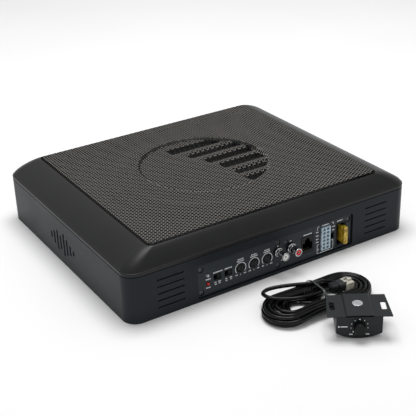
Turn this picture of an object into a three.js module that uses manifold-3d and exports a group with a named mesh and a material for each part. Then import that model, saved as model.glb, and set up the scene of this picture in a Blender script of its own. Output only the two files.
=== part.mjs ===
// Powered car subwoofer: a flat under-seat enclosure with a shallow woofer and an amplifier,
// and a wired level control with its bundled lead.
// Millimetres, +Z up. The origin is the centre of the enclosure's underside, +X runs along its
// long side and the control panel faces -Y.

import * as THREE from "three";
import { mergeVertices } from "three/addons/utils/BufferGeometryUtils.js";
import Module from "manifold-3d";

// ---------------------------------------------------------------- driving dimensions

const WIDTH = 330;
const DEPTH = 274;
const CORNER_RADIUS = 14.4;
const WALL = 3;
const GAP = 0.3;

const TUB_TOP = 48.2;
const COVER_BOTTOM = 48.8;
const CREASE_Z = 52;
const RIM_Z = 67.7;
const BEZEL_SIDE = 30.9;
const BEZEL_FRONT = 13.5;
const BEZEL_BACK = 17;
const BEZEL_POWER = 1.31;
const OPENING_RADIUS = 6;
const GRILLE_LEDGE_Z = 64.6;
const GRILLE_TOP = 68.9;
const DECK_BOTTOM = 49.6;
const DECK_TOP = 52.4;

const FRONT_Y = -DEPTH / 2;
const PANEL_RECESS = 2;
const PANEL_FACE_Y = FRONT_Y + PANEL_RECESS;
const PANEL_THICKNESS = 2.5;
const PANEL_BACK_Y = PANEL_FACE_Y + PANEL_THICKNESS;
const PANEL = { left: -91.6, right: 91.6, bottom: 3.9, top: 37.8 };
const PANEL_SCREWS = [
  [-87.6, 32.5], [0.2, 32.9], [87.6, 32.5],
  [-87.6, 7.9], [0.2, 7.9], [87.6, 7.9],
];
const RCA_SCREW = [10, 30];
const INDICATORS = [["clear", 24.4], ["red", 15.6]];
const INDICATOR_X = -80.3;
const SWITCH_X = [-69.6, -57.4];
const SWITCH_Z = 19.7;
const SWITCH_TRAVEL = 4;
const TRIMMER_X = [-43.4, -28, -12.6];
const TRIMMER_Z = 20.1;
const RCA_JACKS = [["white", 0.2], ["red", 15.5]];
const RCA_Z = 23.6;
const RCA_LENGTH = 13.5;
const REMOTE_SOCKET = { x: 36.15, z: 20.15, width: 15.1, height: 18.3 };
const POWER_SOCKET = { x: 58.6, z: 20.3, width: 11.3, height: 25.2 };
const FUSE_HOLDER = { left: 72.6, right: 84.1, bottom: 6.4, top: 31.4 };
const FUSE = { x: 80.3, z: 18.6, width: 19.1, thickness: 5.1 };

const VENT_LENGTH = 28.4;
const VENT_CENTRES = [-120.6, 122.4];
const VENT_TOP_Z = 38.9;
const VENT_PITCH = 7.2;
const VENT_COUNT = 5;

const RELIEF = { x: 2, y: 0, radius: 69.5, depth: 0.7 };
const LOUVRE_COUNT = 6;
const LOUVRE_PITCH = 20.6;
const LOUVRE_TOP_Y = 54.5;

const WOOFER_Y = 6;
const COVER_SCREWS = [[-150, -122], [150, -122], [150, 122], [-150, 122]];

const LEVEL_PLACE = new THREE.Vector3(-8.2, -266.2, 0);
const LEVEL_TURN = THREE.MathUtils.degToRad(-33);
const LEVEL_DEPTH = 26;
const LEVEL_TOP = 22;
const KNOB_Z = 12.4;

const LEAD_DIAMETER = 3.7;
const HANK = { x: -4, y: -202, turn: THREE.MathUtils.degToRad(-2), halfStraight: 33 };
const HANK_OUTER = 24.2;
const HANK_INNER = 8.8;
const HANK_TOP = 11;
const HANK_FLOOR = 7.6;
const TIE_U = 5;

// ---------------------------------------------------------------- solids and shapes

const wasm = await Module();
wasm.setup();

const group = new THREE.Group();

// Signed volume of an indexed triangle list: negative when its faces point inwards.
function signedVolume(positions, indices) {
  const [a, b, c] = [new THREE.Vector3(), new THREE.Vector3(), new THREE.Vector3()];
  let volume = 0;
  for (let i = 0; i < indices.length; i += 3) {
    a.fromArray(positions, indices[i] * 3);
    b.fromArray(positions, indices[i + 1] * 3);
    c.fromArray(positions, indices[i + 2] * 3);
    volume += a.dot(b.cross(c)) / 6;
  }
  return volume;
}

// A closed geometry as a solid: corners merged, slivers dropped, faces turned outwards.
function solid(geometry) {
  const bare = geometry.clone();
  bare.deleteAttribute("normal");
  bare.deleteAttribute("uv");
  const merged = mergeVertices(bare, 1e-4);
  const source = merged.index.array;
  const indices = [];
  for (let i = 0; i < source.length; i += 3) {
    const [a, b, c] = [source[i], source[i + 1], source[i + 2]];
    if (a !== b && b !== c && c !== a) {
      indices.push(a, b, c);
    }
  }
  const positions = merged.attributes.position.array;
  if (signedVolume(positions, indices) < 0) {
    indices.reverse();
  }
  return new wasm.Manifold(new wasm.Mesh({
    numProp: 3,
    vertProperties: new Float32Array(positions),
    triVerts: new Uint32Array(indices),
  }));
}

function joined(solids) {
  return solids.reduce((total, next) => total.add(next));
}

function without(body, cutters) {
  return cutters.reduce((total, next) => total.subtract(next), body);
}

function toGeometry(body) {
  const mesh = body.getMesh();
  const geometry = new THREE.BufferGeometry();
  geometry.setAttribute("position", new THREE.BufferAttribute(mesh.vertProperties, 3));
  geometry.setIndex(new THREE.BufferAttribute(mesh.triVerts, 1));
  return geometry;
}

function addPart(name, body, [color, roughness, metalness], parent = group) {
  const material = new THREE.MeshStandardMaterial({ color, roughness, metalness });
  const mesh = new THREE.Mesh(toGeometry(body), material);
  mesh.name = name;
  parent.add(mesh);
  return mesh;
}

function box([x0, x1], [y0, y1], [z0, z1]) {
  const geometry = new THREE.BoxGeometry(x1 - x0, y1 - y0, z1 - z0);
  geometry.translate((x0 + x1) / 2, (y0 + y1) / 2, (z0 + z1) / 2);
  return solid(geometry);
}

// A round rod along Y, at x and z, from y0 to y1.
function rodY(x, z, radius, [y0, y1], sides = 16) {
  const geometry = new THREE.CylinderGeometry(radius, radius, y1 - y0, sides);
  geometry.translate(x, (y0 + y1) / 2, z);
  return solid(geometry);
}

// A round rod along Z, at x and y, from z0 to z1.
function rodZ(x, y, radius, [z0, z1], sides = 16) {
  const geometry = new THREE.CylinderGeometry(radius, radius, z1 - z0, sides);
  geometry.rotateX(Math.PI / 2);
  geometry.translate(x, y, (z0 + z1) / 2);
  return solid(geometry);
}

// A solid of revolution from [radius, height] points, about a vertical axis at x and y.
function turned(points, x, y, sides = 24) {
  const profile = points.map(([r, h]) => new THREE.Vector2(r, h));
  const geometry = new THREE.LatheGeometry(profile, sides);
  geometry.rotateX(Math.PI / 2);
  geometry.translate(x, y, 0);
  return solid(geometry);
}

// A solid of revolution about an axis along Y at x and z, from [radius, y] points.
function turnedY(points, x, z, sides = 16) {
  const profile = points.map(([r, y]) => new THREE.Vector2(r, y));
  const geometry = new THREE.LatheGeometry(profile, sides);
  geometry.translate(x, 0, z);
  return solid(geometry);
}

function roundedRect([x0, x1], [y0, y1], radius) {
  const shape = new THREE.Shape();
  const quarter = Math.PI / 2;
  shape.absarc(x1 - radius, y1 - radius, radius, 0, quarter);
  shape.absarc(x0 + radius, y1 - radius, radius, quarter, 2 * quarter);
  shape.absarc(x0 + radius, y0 + radius, radius, 2 * quarter, 3 * quarter);
  shape.absarc(x1 - radius, y0 + radius, radius, 3 * quarter, 4 * quarter);
  return shape;
}

function polygon(points) {
  return new THREE.Shape(points.map(([x, y]) => new THREE.Vector2(x, y)));
}

// A plan outline raised from z0 to z1.
function raised(shape, [z0, z1], curveSegments = 3) {
  const options = { depth: z1 - z0, bevelEnabled: false, curveSegments };
  const geometry = new THREE.ExtrudeGeometry(shape, options);
  geometry.translate(0, 0, z0);
  return solid(geometry);
}

// An outline in X and Z, thickened from y0 to y1.
function slab(shape, [y0, y1], curveSegments = 2) {
  const options = { depth: y1 - y0, bevelEnabled: false, curveSegments };
  const geometry = new THREE.ExtrudeGeometry(shape, options);
  geometry.rotateX(Math.PI / 2);
  geometry.translate(0, y1, 0);
  return solid(geometry);
}

// An outline in Y and Z, run along X from x0 to x1.
function bar(shape, [x0, x1]) {
  const geometry = new THREE.ExtrudeGeometry(shape, { depth: x1 - x0, bevelEnabled: false });
  const turn = new THREE.Matrix4().makeBasis(
    new THREE.Vector3(0, 1, 0),
    new THREE.Vector3(0, 0, 1),
    new THREE.Vector3(1, 0, 0),
  );
  geometry.applyMatrix4(turn);
  geometry.translate(x0, 0, 0);
  return solid(geometry);
}

// A closed skin through equal rings of points; the last ring joins the first.
function ringSolid(rings) {
  const count = rings[0].length;
  const positions = rings.flat().flatMap((point) => [point.x, point.y, point.z]);
  const indices = [];
  for (let i = 0; i < rings.length; i += 1) {
    const next = (i + 1) % rings.length;
    for (let j = 0; j < count; j += 1) {
      const k = (j + 1) % count;
      indices.push(i * count + j, i * count + k, next * count + k);
      indices.push(i * count + j, next * count + k, next * count + j);
    }
  }
  const geometry = new THREE.BufferGeometry();
  geometry.setAttribute("position", new THREE.Float32BufferAttribute(positions, 3));
  geometry.setIndex(indices);
  return solid(geometry);
}

// ---------------------------------------------------------------- finishes: colour, roughness, metalness

const TUB_PLASTIC = [0x34373a, 0.5, 0];
const COVER_PLASTIC = [0x3a3a38, 0.55, 0];
const GRILLE_STEEL = [0x45423e, 0.45, 0.6];
const PANEL_PLASTIC = [0x17181a, 0.5, 0];
const BLACK_PLASTIC = [0x101113, 0.45, 0];
const BLACK_SCREW = [0x1b1c1e, 0.35, 0.8];
const CHROME = [0xd6d8da, 0.12, 1];
const STEEL = [0x8b8d90, 0.35, 1];
const CONE_PAPER = [0x1d1d1e, 0.8, 0];
const RUBBER = [0x141414, 0.7, 0];
const LEAD_PVC = [0x0b0c0d, 0.25, 0];

// ---------------------------------------------------------------- base tub

function ventCutters() {
  const cutters = [];
  for (const centre of VENT_CENTRES) {
    for (let i = 0; i < VENT_COUNT; i += 1) {
      const z = VENT_TOP_Z - i * VENT_PITCH;
      const louvre = polygon([
        [FRONT_Y - 1, z + 1],
        [FRONT_Y - 1, z],
        [FRONT_Y + WALL + 1, z - 2.5],
        [FRONT_Y + WALL + 1, z - 1.5],
      ]);
      cutters.push(bar(louvre, [centre - VENT_LENGTH / 2, centre + VENT_LENGTH / 2]));
    }
  }
  return cutters;
}

function baseTub() {
  const outer = roundedRect([-WIDTH / 2, WIDTH / 2], [-DEPTH / 2, DEPTH / 2], CORNER_RADIUS);
  const inner = roundedRect(
    [-WIDTH / 2 + WALL, WIDTH / 2 - WALL],
    [-DEPTH / 2 + WALL, DEPTH / 2 - WALL],
    CORNER_RADIUS - WALL,
  );
  const shell = raised(outer, [0, TUB_TOP]).subtract(raised(inner, [WALL, TUB_TOP + 1]));

  const bossFront = PANEL_BACK_Y + GAP;
  const bossBack = bossFront + 7;
  const rails = [-1, 1].flatMap((side) => {
    const near = side * 84.8;
    const far = side * 96.4;
    const edge = side * (PANEL.right + 0.8);
    return [
      box([Math.min(near, far), Math.max(near, far)], [bossFront, bossBack], [WALL - 0.5, 43]),
      box([Math.min(edge, far), Math.max(edge, far)], [FRONT_Y + WALL - 1, bossBack], [WALL - 0.5, 43]),
    ];
  });
  const centreBosses = [
    box([-4, 4.4], [bossFront, bossBack], [29.5, 43]),
    box([-4, 4.4], [FRONT_Y + WALL - 1, bossBack], [39, 43]),
    box([-4, 4.4], [bossFront, bossBack], [WALL - 0.5, 11.5]),
  ];
  const coverPosts = COVER_SCREWS.map(([x, y]) => rodZ(x, y, 5, [WALL - 0.5, TUB_TOP], 10));
  const boardPosts = [[-88, -108], [88, -108], [-88, -62], [88, -62]]
    .map(([x, y]) => rodZ(x, y, 3, [WALL - 0.5, 5.7], 8));

  const aperture = slab(
    roundedRect([PANEL.left - 0.6, PANEL.right + 0.6], [PANEL.bottom - 0.6, PANEL.top + 0.6], 2.8),
    [FRONT_Y - 1, FRONT_Y + WALL + 1],
  );
  const pilots = PANEL_SCREWS.map(([x, z]) => rodY(x, z, 1.6, [bossFront - 1, bossFront + 6], 8));
  const coverHoles = COVER_SCREWS.flatMap(([x, y]) => [
    rodZ(x, y, 3.7, [-1, 9], 10),
    rodZ(x, y, 1.8, [-1, TUB_TOP + 1], 8),
  ]);
  const body = joined([without(shell, [aperture]), ...rails, ...centreBosses, ...coverPosts, ...boardPosts]);
  return without(body, [...pilots, ...coverHoles, ...ventCutters()]);
}

// ---------------------------------------------------------------- top cover

// A rounded rectangle at height z: the bezel's inset grows with share, plus a plain offset.
function coverRing(share, offset, z) {
  const side = share * BEZEL_SIDE + offset;
  const front = share * BEZEL_FRONT + offset;
  const back = share * BEZEL_BACK + offset;
  const radius = Math.max(CORNER_RADIUS + share * (OPENING_RADIUS - CORNER_RADIUS) - offset / 2, 2.5);
  const steps = 5;
  const right = WIDTH / 2 - side - radius;
  const far = DEPTH / 2 - back - radius;
  const near = -DEPTH / 2 + front + radius;
  const corners = [[right, far], [-right, far], [-right, near], [right, near]];
  return corners.flatMap(([x, y], corner) => Array.from({ length: steps + 1 }, (_, i) => {
    const angle = (corner + i / steps) * Math.PI / 2;
    return new THREE.Vector3(x + radius * Math.cos(angle), y + radius * Math.sin(angle), z);
  }));
}

function topCover() {
  const bezelSteps = 6;
  const bezelStart = CREASE_Z + 0.3;
  const bezel = Array.from({ length: bezelSteps + 1 }, (_, i) => {
    const angle = (i / bezelSteps) * Math.PI / 2;
    const share = 1 - Math.max(Math.cos(angle), 0) ** (2 / BEZEL_POWER);
    const rise = Math.sin(angle) ** (2 / BEZEL_POWER);
    return coverRing(share, 0.7 * (1 - share), bezelStart + rise * (RIM_Z - bezelStart));
  });
  const shell = ringSolid([
    coverRing(0, 0, COVER_BOTTOM),
    coverRing(0, 0, CREASE_Z),
    ...bezel,
    coverRing(1, 0.02, GRILLE_LEDGE_Z),
    coverRing(1, 4, GRILLE_LEDGE_Z),
    coverRing(1, 4, GRILLE_LEDGE_Z - 2.2),
    coverRing(1, -1, GRILLE_LEDGE_Z - 2.2),
    coverRing(0, 6, DECK_TOP),
    coverRing(0, 3, DECK_BOTTOM + 0.4),
    coverRing(0, 3, COVER_BOTTOM),
  ]);
  const inset = 2.5;
  const deckOutline = roundedRect(
    [-WIDTH / 2 + inset, WIDTH / 2 - inset],
    [-DEPTH / 2 + inset, DEPTH / 2 - inset],
    CORNER_RADIUS - inset,
  );
  const deck = raised(deckOutline, [DECK_BOTTOM, DECK_TOP])
    .subtract(rodZ(0, WOOFER_Y, 92, [DECK_BOTTOM - 1, DECK_TOP + 1], 28));
  const bosses = COVER_SCREWS.map(([x, y]) => rodZ(x, y, 5, [COVER_BOTTOM, 57], 10));
  const pilots = COVER_SCREWS.map(([x, y]) => rodZ(x, y, 1.7, [COVER_BOTTOM - 1, 55.5], 8));
  return without(joined([shell, deck, ...bosses]), pilots);
}

// ---------------------------------------------------------------- speaker grille

function louvreY(index) {
  return LOUVRE_TOP_Y - index * LOUVRE_PITCH;
}

// The louvres' left ends lie on an easy curve and their right ends on the relief's circle.
function louvreLeft(index) {
  return 21 - 34 * (1 - index / (LOUVRE_COUNT - 1)) ** 2;
}

function speakerGrille() {
  const clearance = 0.6;
  const right = WIDTH / 2 - BEZEL_SIDE - clearance;
  const near = -DEPTH / 2 + BEZEL_FRONT + clearance;
  const far = DEPTH / 2 - BEZEL_BACK - clearance;
  const skin = 1;
  const skirtBottom = GRILLE_LEDGE_Z + GAP;
  const outer = roundedRect([-right, right], [near, far], OPENING_RADIUS - clearance);
  const inner = roundedRect([-right + 1.2, right - 1.2], [near + 1.2, far - 1.2], OPENING_RADIUS - 1.8);
  const tray = raised(outer, [skirtBottom, GRILLE_TOP])
    .subtract(raised(inner, [skirtBottom - 1, GRILLE_TOP - skin]));

  const dish = GRILLE_TOP - RELIEF.depth;
  const backing = rodZ(RELIEF.x, RELIEF.y, RELIEF.radius + 1, [dish - skin, GRILLE_TOP - skin + 0.1], 40);
  const recess = rodZ(RELIEF.x, RELIEF.y, RELIEF.radius, [dish, GRILLE_TOP + 1], 40);
  const louvreRound = rodZ(RELIEF.x, RELIEF.y, RELIEF.radius - 2, [dish - 8, GRILLE_TOP + 5], 40);
  const padRound = rodZ(RELIEF.x, RELIEF.y, RELIEF.radius, [dish - 8, GRILLE_TOP + 5], 40);
  const louvreDepth = 2.6;
  const pads = [];
  const ramps = [];
  for (let i = 0; i < LOUVRE_COUNT; i += 1) {
    const top = louvreY(i);
    const bottom = louvreY(i + 1) + 2;
    const left = louvreLeft(i);
    const ramp = polygon([
      [top, GRILLE_TOP + 1],
      [top, dish - louvreDepth],
      [bottom, dish],
      [bottom, GRILLE_TOP + 1],
    ]);
    ramps.push(bar(ramp, [left, RELIEF.x + RELIEF.radius]).intersect(louvreRound));
    const pad = box(
      [left - 1, RELIEF.x + RELIEF.radius],
      [bottom - 1, top + 1],
      [dish - louvreDepth - 0.8, dish - skin + 0.1],
    );
    pads.push(pad.intersect(padRound));
  }
  return without(joined([tray, backing, ...pads]), [recess, ...ramps]);
}

// ---------------------------------------------------------------- control panel and its screws

function controlPanel() {
  const outline = roundedRect([PANEL.left, PANEL.right], [PANEL.bottom, PANEL.top], 2.4);
  const plate = slab(outline, [PANEL_FACE_Y, PANEL_BACK_Y]);
  const through = [PANEL_FACE_Y - 1, PANEL_BACK_Y + 1];
  const screwHoles = [...PANEL_SCREWS, RCA_SCREW].flatMap(([x, z]) => [
    rodY(x, z, 3, [PANEL_FACE_Y - 1, PANEL_FACE_Y + 1.6], 12),
    rodY(x, z, 1.7, through, 8),
  ]);
  const windows = [
    ...INDICATORS.map(([, z]) => rodY(INDICATOR_X, z, 1.9, through, 12)),
    ...SWITCH_X.map((x) => box([x - 4.2, x + 4.2], through, [SWITCH_Z - 2.9, SWITCH_Z + 2.9])),
    ...TRIMMER_X.map((x) => rodY(x, TRIMMER_Z, 4.5, through, 16)),
    ...RCA_JACKS.map(([, x]) => rodY(x, RCA_Z, 5.2, through, 16)),
    socketWindow(REMOTE_SOCKET, through),
    socketWindow(POWER_SOCKET, through),
    box([64.4, 69.8], through, [16.8, 23.4]),
    box([FUSE_HOLDER.left - GAP, FUSE_HOLDER.right + GAP], through,
      [FUSE_HOLDER.bottom - GAP, FUSE_HOLDER.top + GAP]),
  ];
  return without(plate, [...screwHoles, ...windows]);
}

function socketWindow({ x, z, width, height }, depthRange) {
  return box(
    [x - width / 2 - GAP, x + width / 2 + GAP],
    depthRange,
    [z - height / 2 - GAP, z + height / 2 + GAP],
  );
}

// A dome-headed screw along Y with a cross recess.
function panelScrew(x, z, shankEnd) {
  const seat = PANEL_FACE_Y + 1.6 - GAP;
  const face = PANEL_FACE_Y + 0.1;
  const body = turnedY([[0, face], [1.9, face + 0.2], [2.4, face + 0.6], [2.4, seat], [1.25, seat],
    [1.25, shankEnd], [0, shankEnd]], x, z, 8);
  const recess = [
    box([x - 1.3, x + 1.3], [face - 1, face + 0.7], [z - 0.3, z + 0.3]),
    box([x - 0.3, x + 0.3], [face - 1, face + 0.7], [z - 1.3, z + 1.3]),
  ];
  return without(body, recess);
}

// ---------------------------------------------------------------- panel controls

function indicatorLens(z) {
  const back = PANEL_BACK_Y + 2;
  const face = PANEL_FACE_Y - 0.4;
  return turnedY([[0, back], [1.55, back], [1.55, face], [1.1, face - 0.9], [0, face - 1.3]],
    INDICATOR_X, z, 12);
}

function switchBody(x) {
  const front = PANEL_BACK_Y + GAP;
  const body = box([x - 5, x + 5], [front, front + 7], [SWITCH_Z - 3.6, SWITCH_Z + 3.6]);
  return body.subtract(box([x - 3.9, x + 3.9], [front - 1, front + 2.5], [SWITCH_Z - 2.2, SWITCH_Z + 2.2]));
}

// The slider rests at the right-hand end of its slot.
function switchSlider(x) {
  const centre = x + SWITCH_TRAVEL / 2;
  const block = box([centre - 1.7, centre + 1.7], [PANEL_FACE_Y + 0.7, PANEL_BACK_Y + GAP + 2.2],
    [SWITCH_Z - 1.9, SWITCH_Z + 1.9]);
  const grooves = [-0.9, 0, 0.9].map((step) => box(
    [centre + step - 0.2, centre + step + 0.2],
    [PANEL_FACE_Y, PANEL_FACE_Y + 1],
    [SWITCH_Z - 3, SWITCH_Z + 3],
  ));
  return without(block, grooves);
}

function trimmerBody(x) {
  const front = PANEL_BACK_Y + GAP;
  const body = box([x - 5, x + 5], [front, front + 7.5], [TRIMMER_Z - 5, TRIMMER_Z + 5]);
  return without(body, [
    rodY(x, TRIMMER_Z, 4.1, [front - 1, front + 2.4], 14),
    rodY(x, TRIMMER_Z, 1.5, [front - 1, front + 6.5], 8),
  ]);
}

function trimmerKnob(x) {
  const face = PANEL_FACE_Y - 0.4;
  const back = PANEL_BACK_Y + GAP + 2.1;
  const body = turnedY([[0, face], [3.2, face], [3.7, face + 0.5], [3.7, back], [1.2, back],
    [1.2, back + 3.6], [0, back + 3.6]], x, TRIMMER_Z, 14);
  return body.subtract(box([x - 0.5, x + 0.5], [face - 1, face + 1.1], [TRIMMER_Z - 4, TRIMMER_Z + 4]));
}

// ---------------------------------------------------------------- sockets and fuse

const RCA_COLLAR_Y = PANEL_FACE_Y - 1;

function rcaBlock() {
  const back = PANEL_BACK_Y + GAP;
  const xs = RCA_JACKS.map(([, x]) => x);
  const base = box([xs[0] - 6, xs[1] + 6], [back, back + 11], [RCA_Z - 6.5, RCA_Z + 4.2]);
  const collars = xs.map((x) => rodY(x, RCA_Z, 4.8, [RCA_COLLAR_Y, back + 1], 14));
  const bores = xs.map((x) => rodY(x, RCA_Z, 3.3, [RCA_COLLAR_Y - 1, back + 3], 12));
  return without(joined([base, ...collars]), bores);
}

function rcaShell(x) {
  const inner = 3.15;
  const outer = 4.15;
  const back = RCA_COLLAR_Y - GAP;
  const face = PANEL_FACE_Y - RCA_LENGTH;
  return turnedY([[inner, back], [4.7, back], [4.7, back - 1], [outer, back - 1.2], [outer, face + 0.4],
    [outer - 0.4, face], [inner, face], [inner, back]], x, RCA_Z, 14);
}

function rcaInsert(x) {
  const face = PANEL_FACE_Y - RCA_LENGTH + 0.3;
  const back = PANEL_BACK_Y + 2;
  return turnedY([[1.2, face], [2.6, face], [2.85, face + 0.3], [2.85, back], [0, back],
    [0, face + 8], [1.2, face + 8], [1.2, face]], x, RCA_Z, 12);
}

function remoteSocket() {
  const { x, z, width, height } = REMOTE_SOCKET;
  const front = PANEL_FACE_Y - 0.2;
  const body = box([x - width / 2, x + width / 2], [front, front + 18], [z - height / 2, z + height / 2]);
  const floor = z - 6;
  return without(body, [
    box([x - 5.95, x + 5.95], [front - 1, front + 13], [floor, floor + 8]),
    box([x - 3.1, x + 3.1], [front - 1, front + 13], [floor + 7, floor + 11]),
    box([x - 1.7, x + 1.7], [front - 1, front + 13], [floor + 10, floor + 12.8]),
  ]);
}

function powerSocket() {
  const { x, z, width, height } = POWER_SOCKET;
  const front = PANEL_FACE_Y - 1.5;
  const body = box([x - width / 2, x + width / 2], [front, front + 18], [z - height / 2, z + height / 2]);
  const cavities = [];
  for (let row = 0; row < 6; row += 1) {
    for (const column of [-1, 1]) {
      const cx = x + column * 2.35;
      const cz = z + (row - 2.5) * 4.1;
      cavities.push(box([cx - 1.5, cx + 1.5], [front - 1, front + 7], [cz - 1.4, cz + 1.4]));
    }
  }
  return without(body, cavities);
}

function fuseHolder() {
  const { left, right, bottom, top } = FUSE_HOLDER;
  const front = PANEL_FACE_Y + 0.1;
  const floor = PANEL_FACE_Y + 5.5;
  const body = box([left, right], [front, front + 17], [bottom, top]);
  const well = box([left + 1, right - 0.9], [front - 1, floor], [bottom + 1.2, top - 1.2]);
  const slots = [-1, 1].map((side) => {
    const z = FUSE.z + side * 6.6;
    return box([FUSE.x - 0.7, FUSE.x + 0.7], [floor - 1, floor + 9.5], [z - 2.9, z + 2.9]);
  });
  return without(body, [well, ...slots]);
}

function bladeFuse() {
  const { x, z, width, thickness } = FUSE;
  const outer = FRONT_Y - 4;
  const shoulder = outer + 5;
  const floor = PANEL_FACE_Y + 5.5 - GAP;
  const half = width / 2;
  const cap = polygon([
    [x - thickness / 2, z - half + 0.8], [x - thickness / 2 + 0.8, z - half],
    [x + thickness / 2 - 0.8, z - half], [x + thickness / 2, z - half + 0.8],
    [x + thickness / 2, z + half - 0.8], [x + thickness / 2 - 0.8, z + half],
    [x - thickness / 2 + 0.8, z + half], [x - thickness / 2, z + half - 0.8],
  ]);
  const body = slab(cap, [outer, shoulder])
    .add(box([x - 1.9, x + 1.9], [shoulder - 0.5, floor], [z - half + 0.9, z + half - 0.9]));
  const blades = [-1, 1].map((side) => {
    const centre = z + side * 6.6;
    return box([x - 0.35, x + 0.35], [floor - 1, floor + 8.5], [centre - 2.5, centre + 2.5]);
  });
  return joined([body, ...blades]);
}

// ---------------------------------------------------------------- woofer

function wooferBasket() {
  const ring = turned([[28, 30.3], [47, 30.3], [64, 33.5], [89, 50], [89.5, 52.7], [101, 52.7],
    [101, 55.5], [88, 55.5], [86.5, 51.6], [62.5, 38.6], [60.5, 35.6], [46, 32.8], [28, 32.8],
    [28, 30.3]], 0, WOOFER_Y);
  const windows = Array.from({ length: 6 }, (_, i) => {
    const angle = (i + 0.5) * Math.PI / 3;
    const geometry = new THREE.BoxGeometry(17, 38, 12);
    geometry.translate(75.5, 0, 44.5);
    geometry.rotateZ(angle);
    geometry.translate(0, WOOFER_Y, 0);
    return solid(geometry);
  });
  return without(ring, windows);
}

function wooferSurround() {
  const rollCentre = 82.2;
  const rollRadius = 5.4;
  const base = 55.8;
  const skin = 0.6;
  const steps = 4;
  const arc = (radius) => Array.from({ length: steps + 1 }, (_, i) => {
    const angle = Math.PI * (1 - i / steps);
    return [rollCentre + radius * Math.cos(angle), base + 0.3 + radius * Math.sin(angle)];
  });
  const upper = arc(rollRadius);
  const lower = arc(rollRadius - skin).reverse();
  return turned([[72.5, base], [72.5, base + skin], ...upper, [96, base + skin], [96, base], ...lower,
    [72.5, base]], 0, WOOFER_Y);
}

function wooferCone() {
  return turned([[25.3, 40.8], [73.5, 54.3], [77, 54.6], [77, 55.4], [73, 55.3], [25.3, 41.8],
    [25.3, 40.8]], 0, WOOFER_Y);
}

function dustCap() {
  return turned([[0, 51.5], [12, 50.6], [23, 48], [31, 44.2], [31, 45.2], [23, 49], [12, 51.6],
    [0, 52.5]], 0, WOOFER_Y);
}

function wooferSpider() {
  const waves = 3;
  const upper = [];
  const lower = [];
  const count = waves * 2;
  for (let i = 0; i <= count; i += 1) {
    const r = 27 + (i / count) * 25;
    const z = 37 + (i % 2 === 0 ? -0.8 : 0.8);
    upper.push([r, z + 0.5]);
    lower.push([r, z]);
  }
  return turned([[25.3, 36.2], [25.3, 36.7], ...upper, [59.5, 36.7], [59.5, 36.2], ...lower.reverse(),
    [25.3, 36.2]], 0, WOOFER_Y);
}

function tube(inner, outer, [z0, z1]) {
  return turned([[inner, z0], [outer, z0], [outer, z1], [inner, z1], [inner, z0]], 0, WOOFER_Y);
}

function wooferYoke() {
  return turned([[6, 5], [46, 5], [46, 11], [23, 11], [23, 30], [6, 30], [6, 5]], 0, WOOFER_Y);
}

// ---------------------------------------------------------------- amplifier

const BOARD_TOP = 7.6;

function amplifierBoard() {
  const board = box([-95, 95], [-116.5, -54], [6, BOARD_TOP]);
  return board.subtract(rodZ(0, WOOFER_Y, 62, [5, 9], 28));
}

function heatsinkBar() {
  const fins = 7;
  const outline = [[-114, BOARD_TOP + GAP], [-100, BOARD_TOP + GAP]];
  for (let i = fins - 1; i >= 0; i -= 1) {
    const y = -114 + i * 2.15;
    outline.push([y + 1.1, 26], [y, 26]);
    if (i > 0) {
      outline.push([y, 12], [y - 1.05, 12]);
    }
  }
  outline[1][0] = outline[2][0];
  return bar(polygon(outline), [-88, -22]);
}

function supplyCapacitor() {
  const z = BOARD_TOP + GAP;
  return turned([[0, z], [9, z], [9, z + 27], [8.2, z + 28], [0, z + 28]], -62, -82, 14);
}

function supplyTransformer() {
  const z = BOARD_TOP + GAP;
  return turned([[9, z + 2], [11, z], [21, z], [23, z + 2], [23, z + 16], [21, z + 18], [11, z + 18],
    [9, z + 16], [9, z + 2]], 64, -82, 16);
}

// Cover screws come up from below through the tub's corner posts.
function coverScrew(x, y) {
  return turned([[0, 6.4], [3.2, 6.4], [3.2, 8.7], [1.4, 8.7], [1.4, 54.5], [0, 54.5]], x, y, 8);
}

// ---------------------------------------------------------------- level control

const levelGroup = new THREE.Group();
levelGroup.position.copy(LEVEL_PLACE);
levelGroup.rotation.z = LEVEL_TURN;
group.add(levelGroup);

// Front outline: straight sides down to a wide convex arc that the control stands on.
function levelOutline(halfWidth, bottom, shoulder, top) {
  const sag = shoulder - bottom;
  const radius = (halfWidth ** 2 + sag ** 2) / (2 * sag);
  const sweep = Math.asin(halfWidth / radius);
  const shape = new THREE.Shape();
  shape.moveTo(halfWidth, top);
  shape.lineTo(-halfWidth, top);
  shape.lineTo(-halfWidth, shoulder);
  shape.absarc(0, bottom + radius, radius, -Math.PI / 2 - sweep, -Math.PI / 2 + sweep);
  return shape;
}

function levelHousing() {
  const shell = slab(levelOutline(20.2, 0.3, 5.6, LEVEL_TOP), [0, LEVEL_DEPTH], 5);
  const cavity = slab(levelOutline(18.2, 2.4, 7, LEVEL_TOP + 1), [2, LEVEL_DEPTH - 2], 3);
  const spout = turnedY([[0, LEVEL_DEPTH - 1], [3.6, LEVEL_DEPTH - 1], [2.9, LEVEL_DEPTH + 5],
    [0, LEVEL_DEPTH + 5]], 0, 9, 12);
  return without(shell.add(spout), [cavity, rodY(0, KNOB_Z, 2.2, [-1, 3], 12)]);
}

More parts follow.
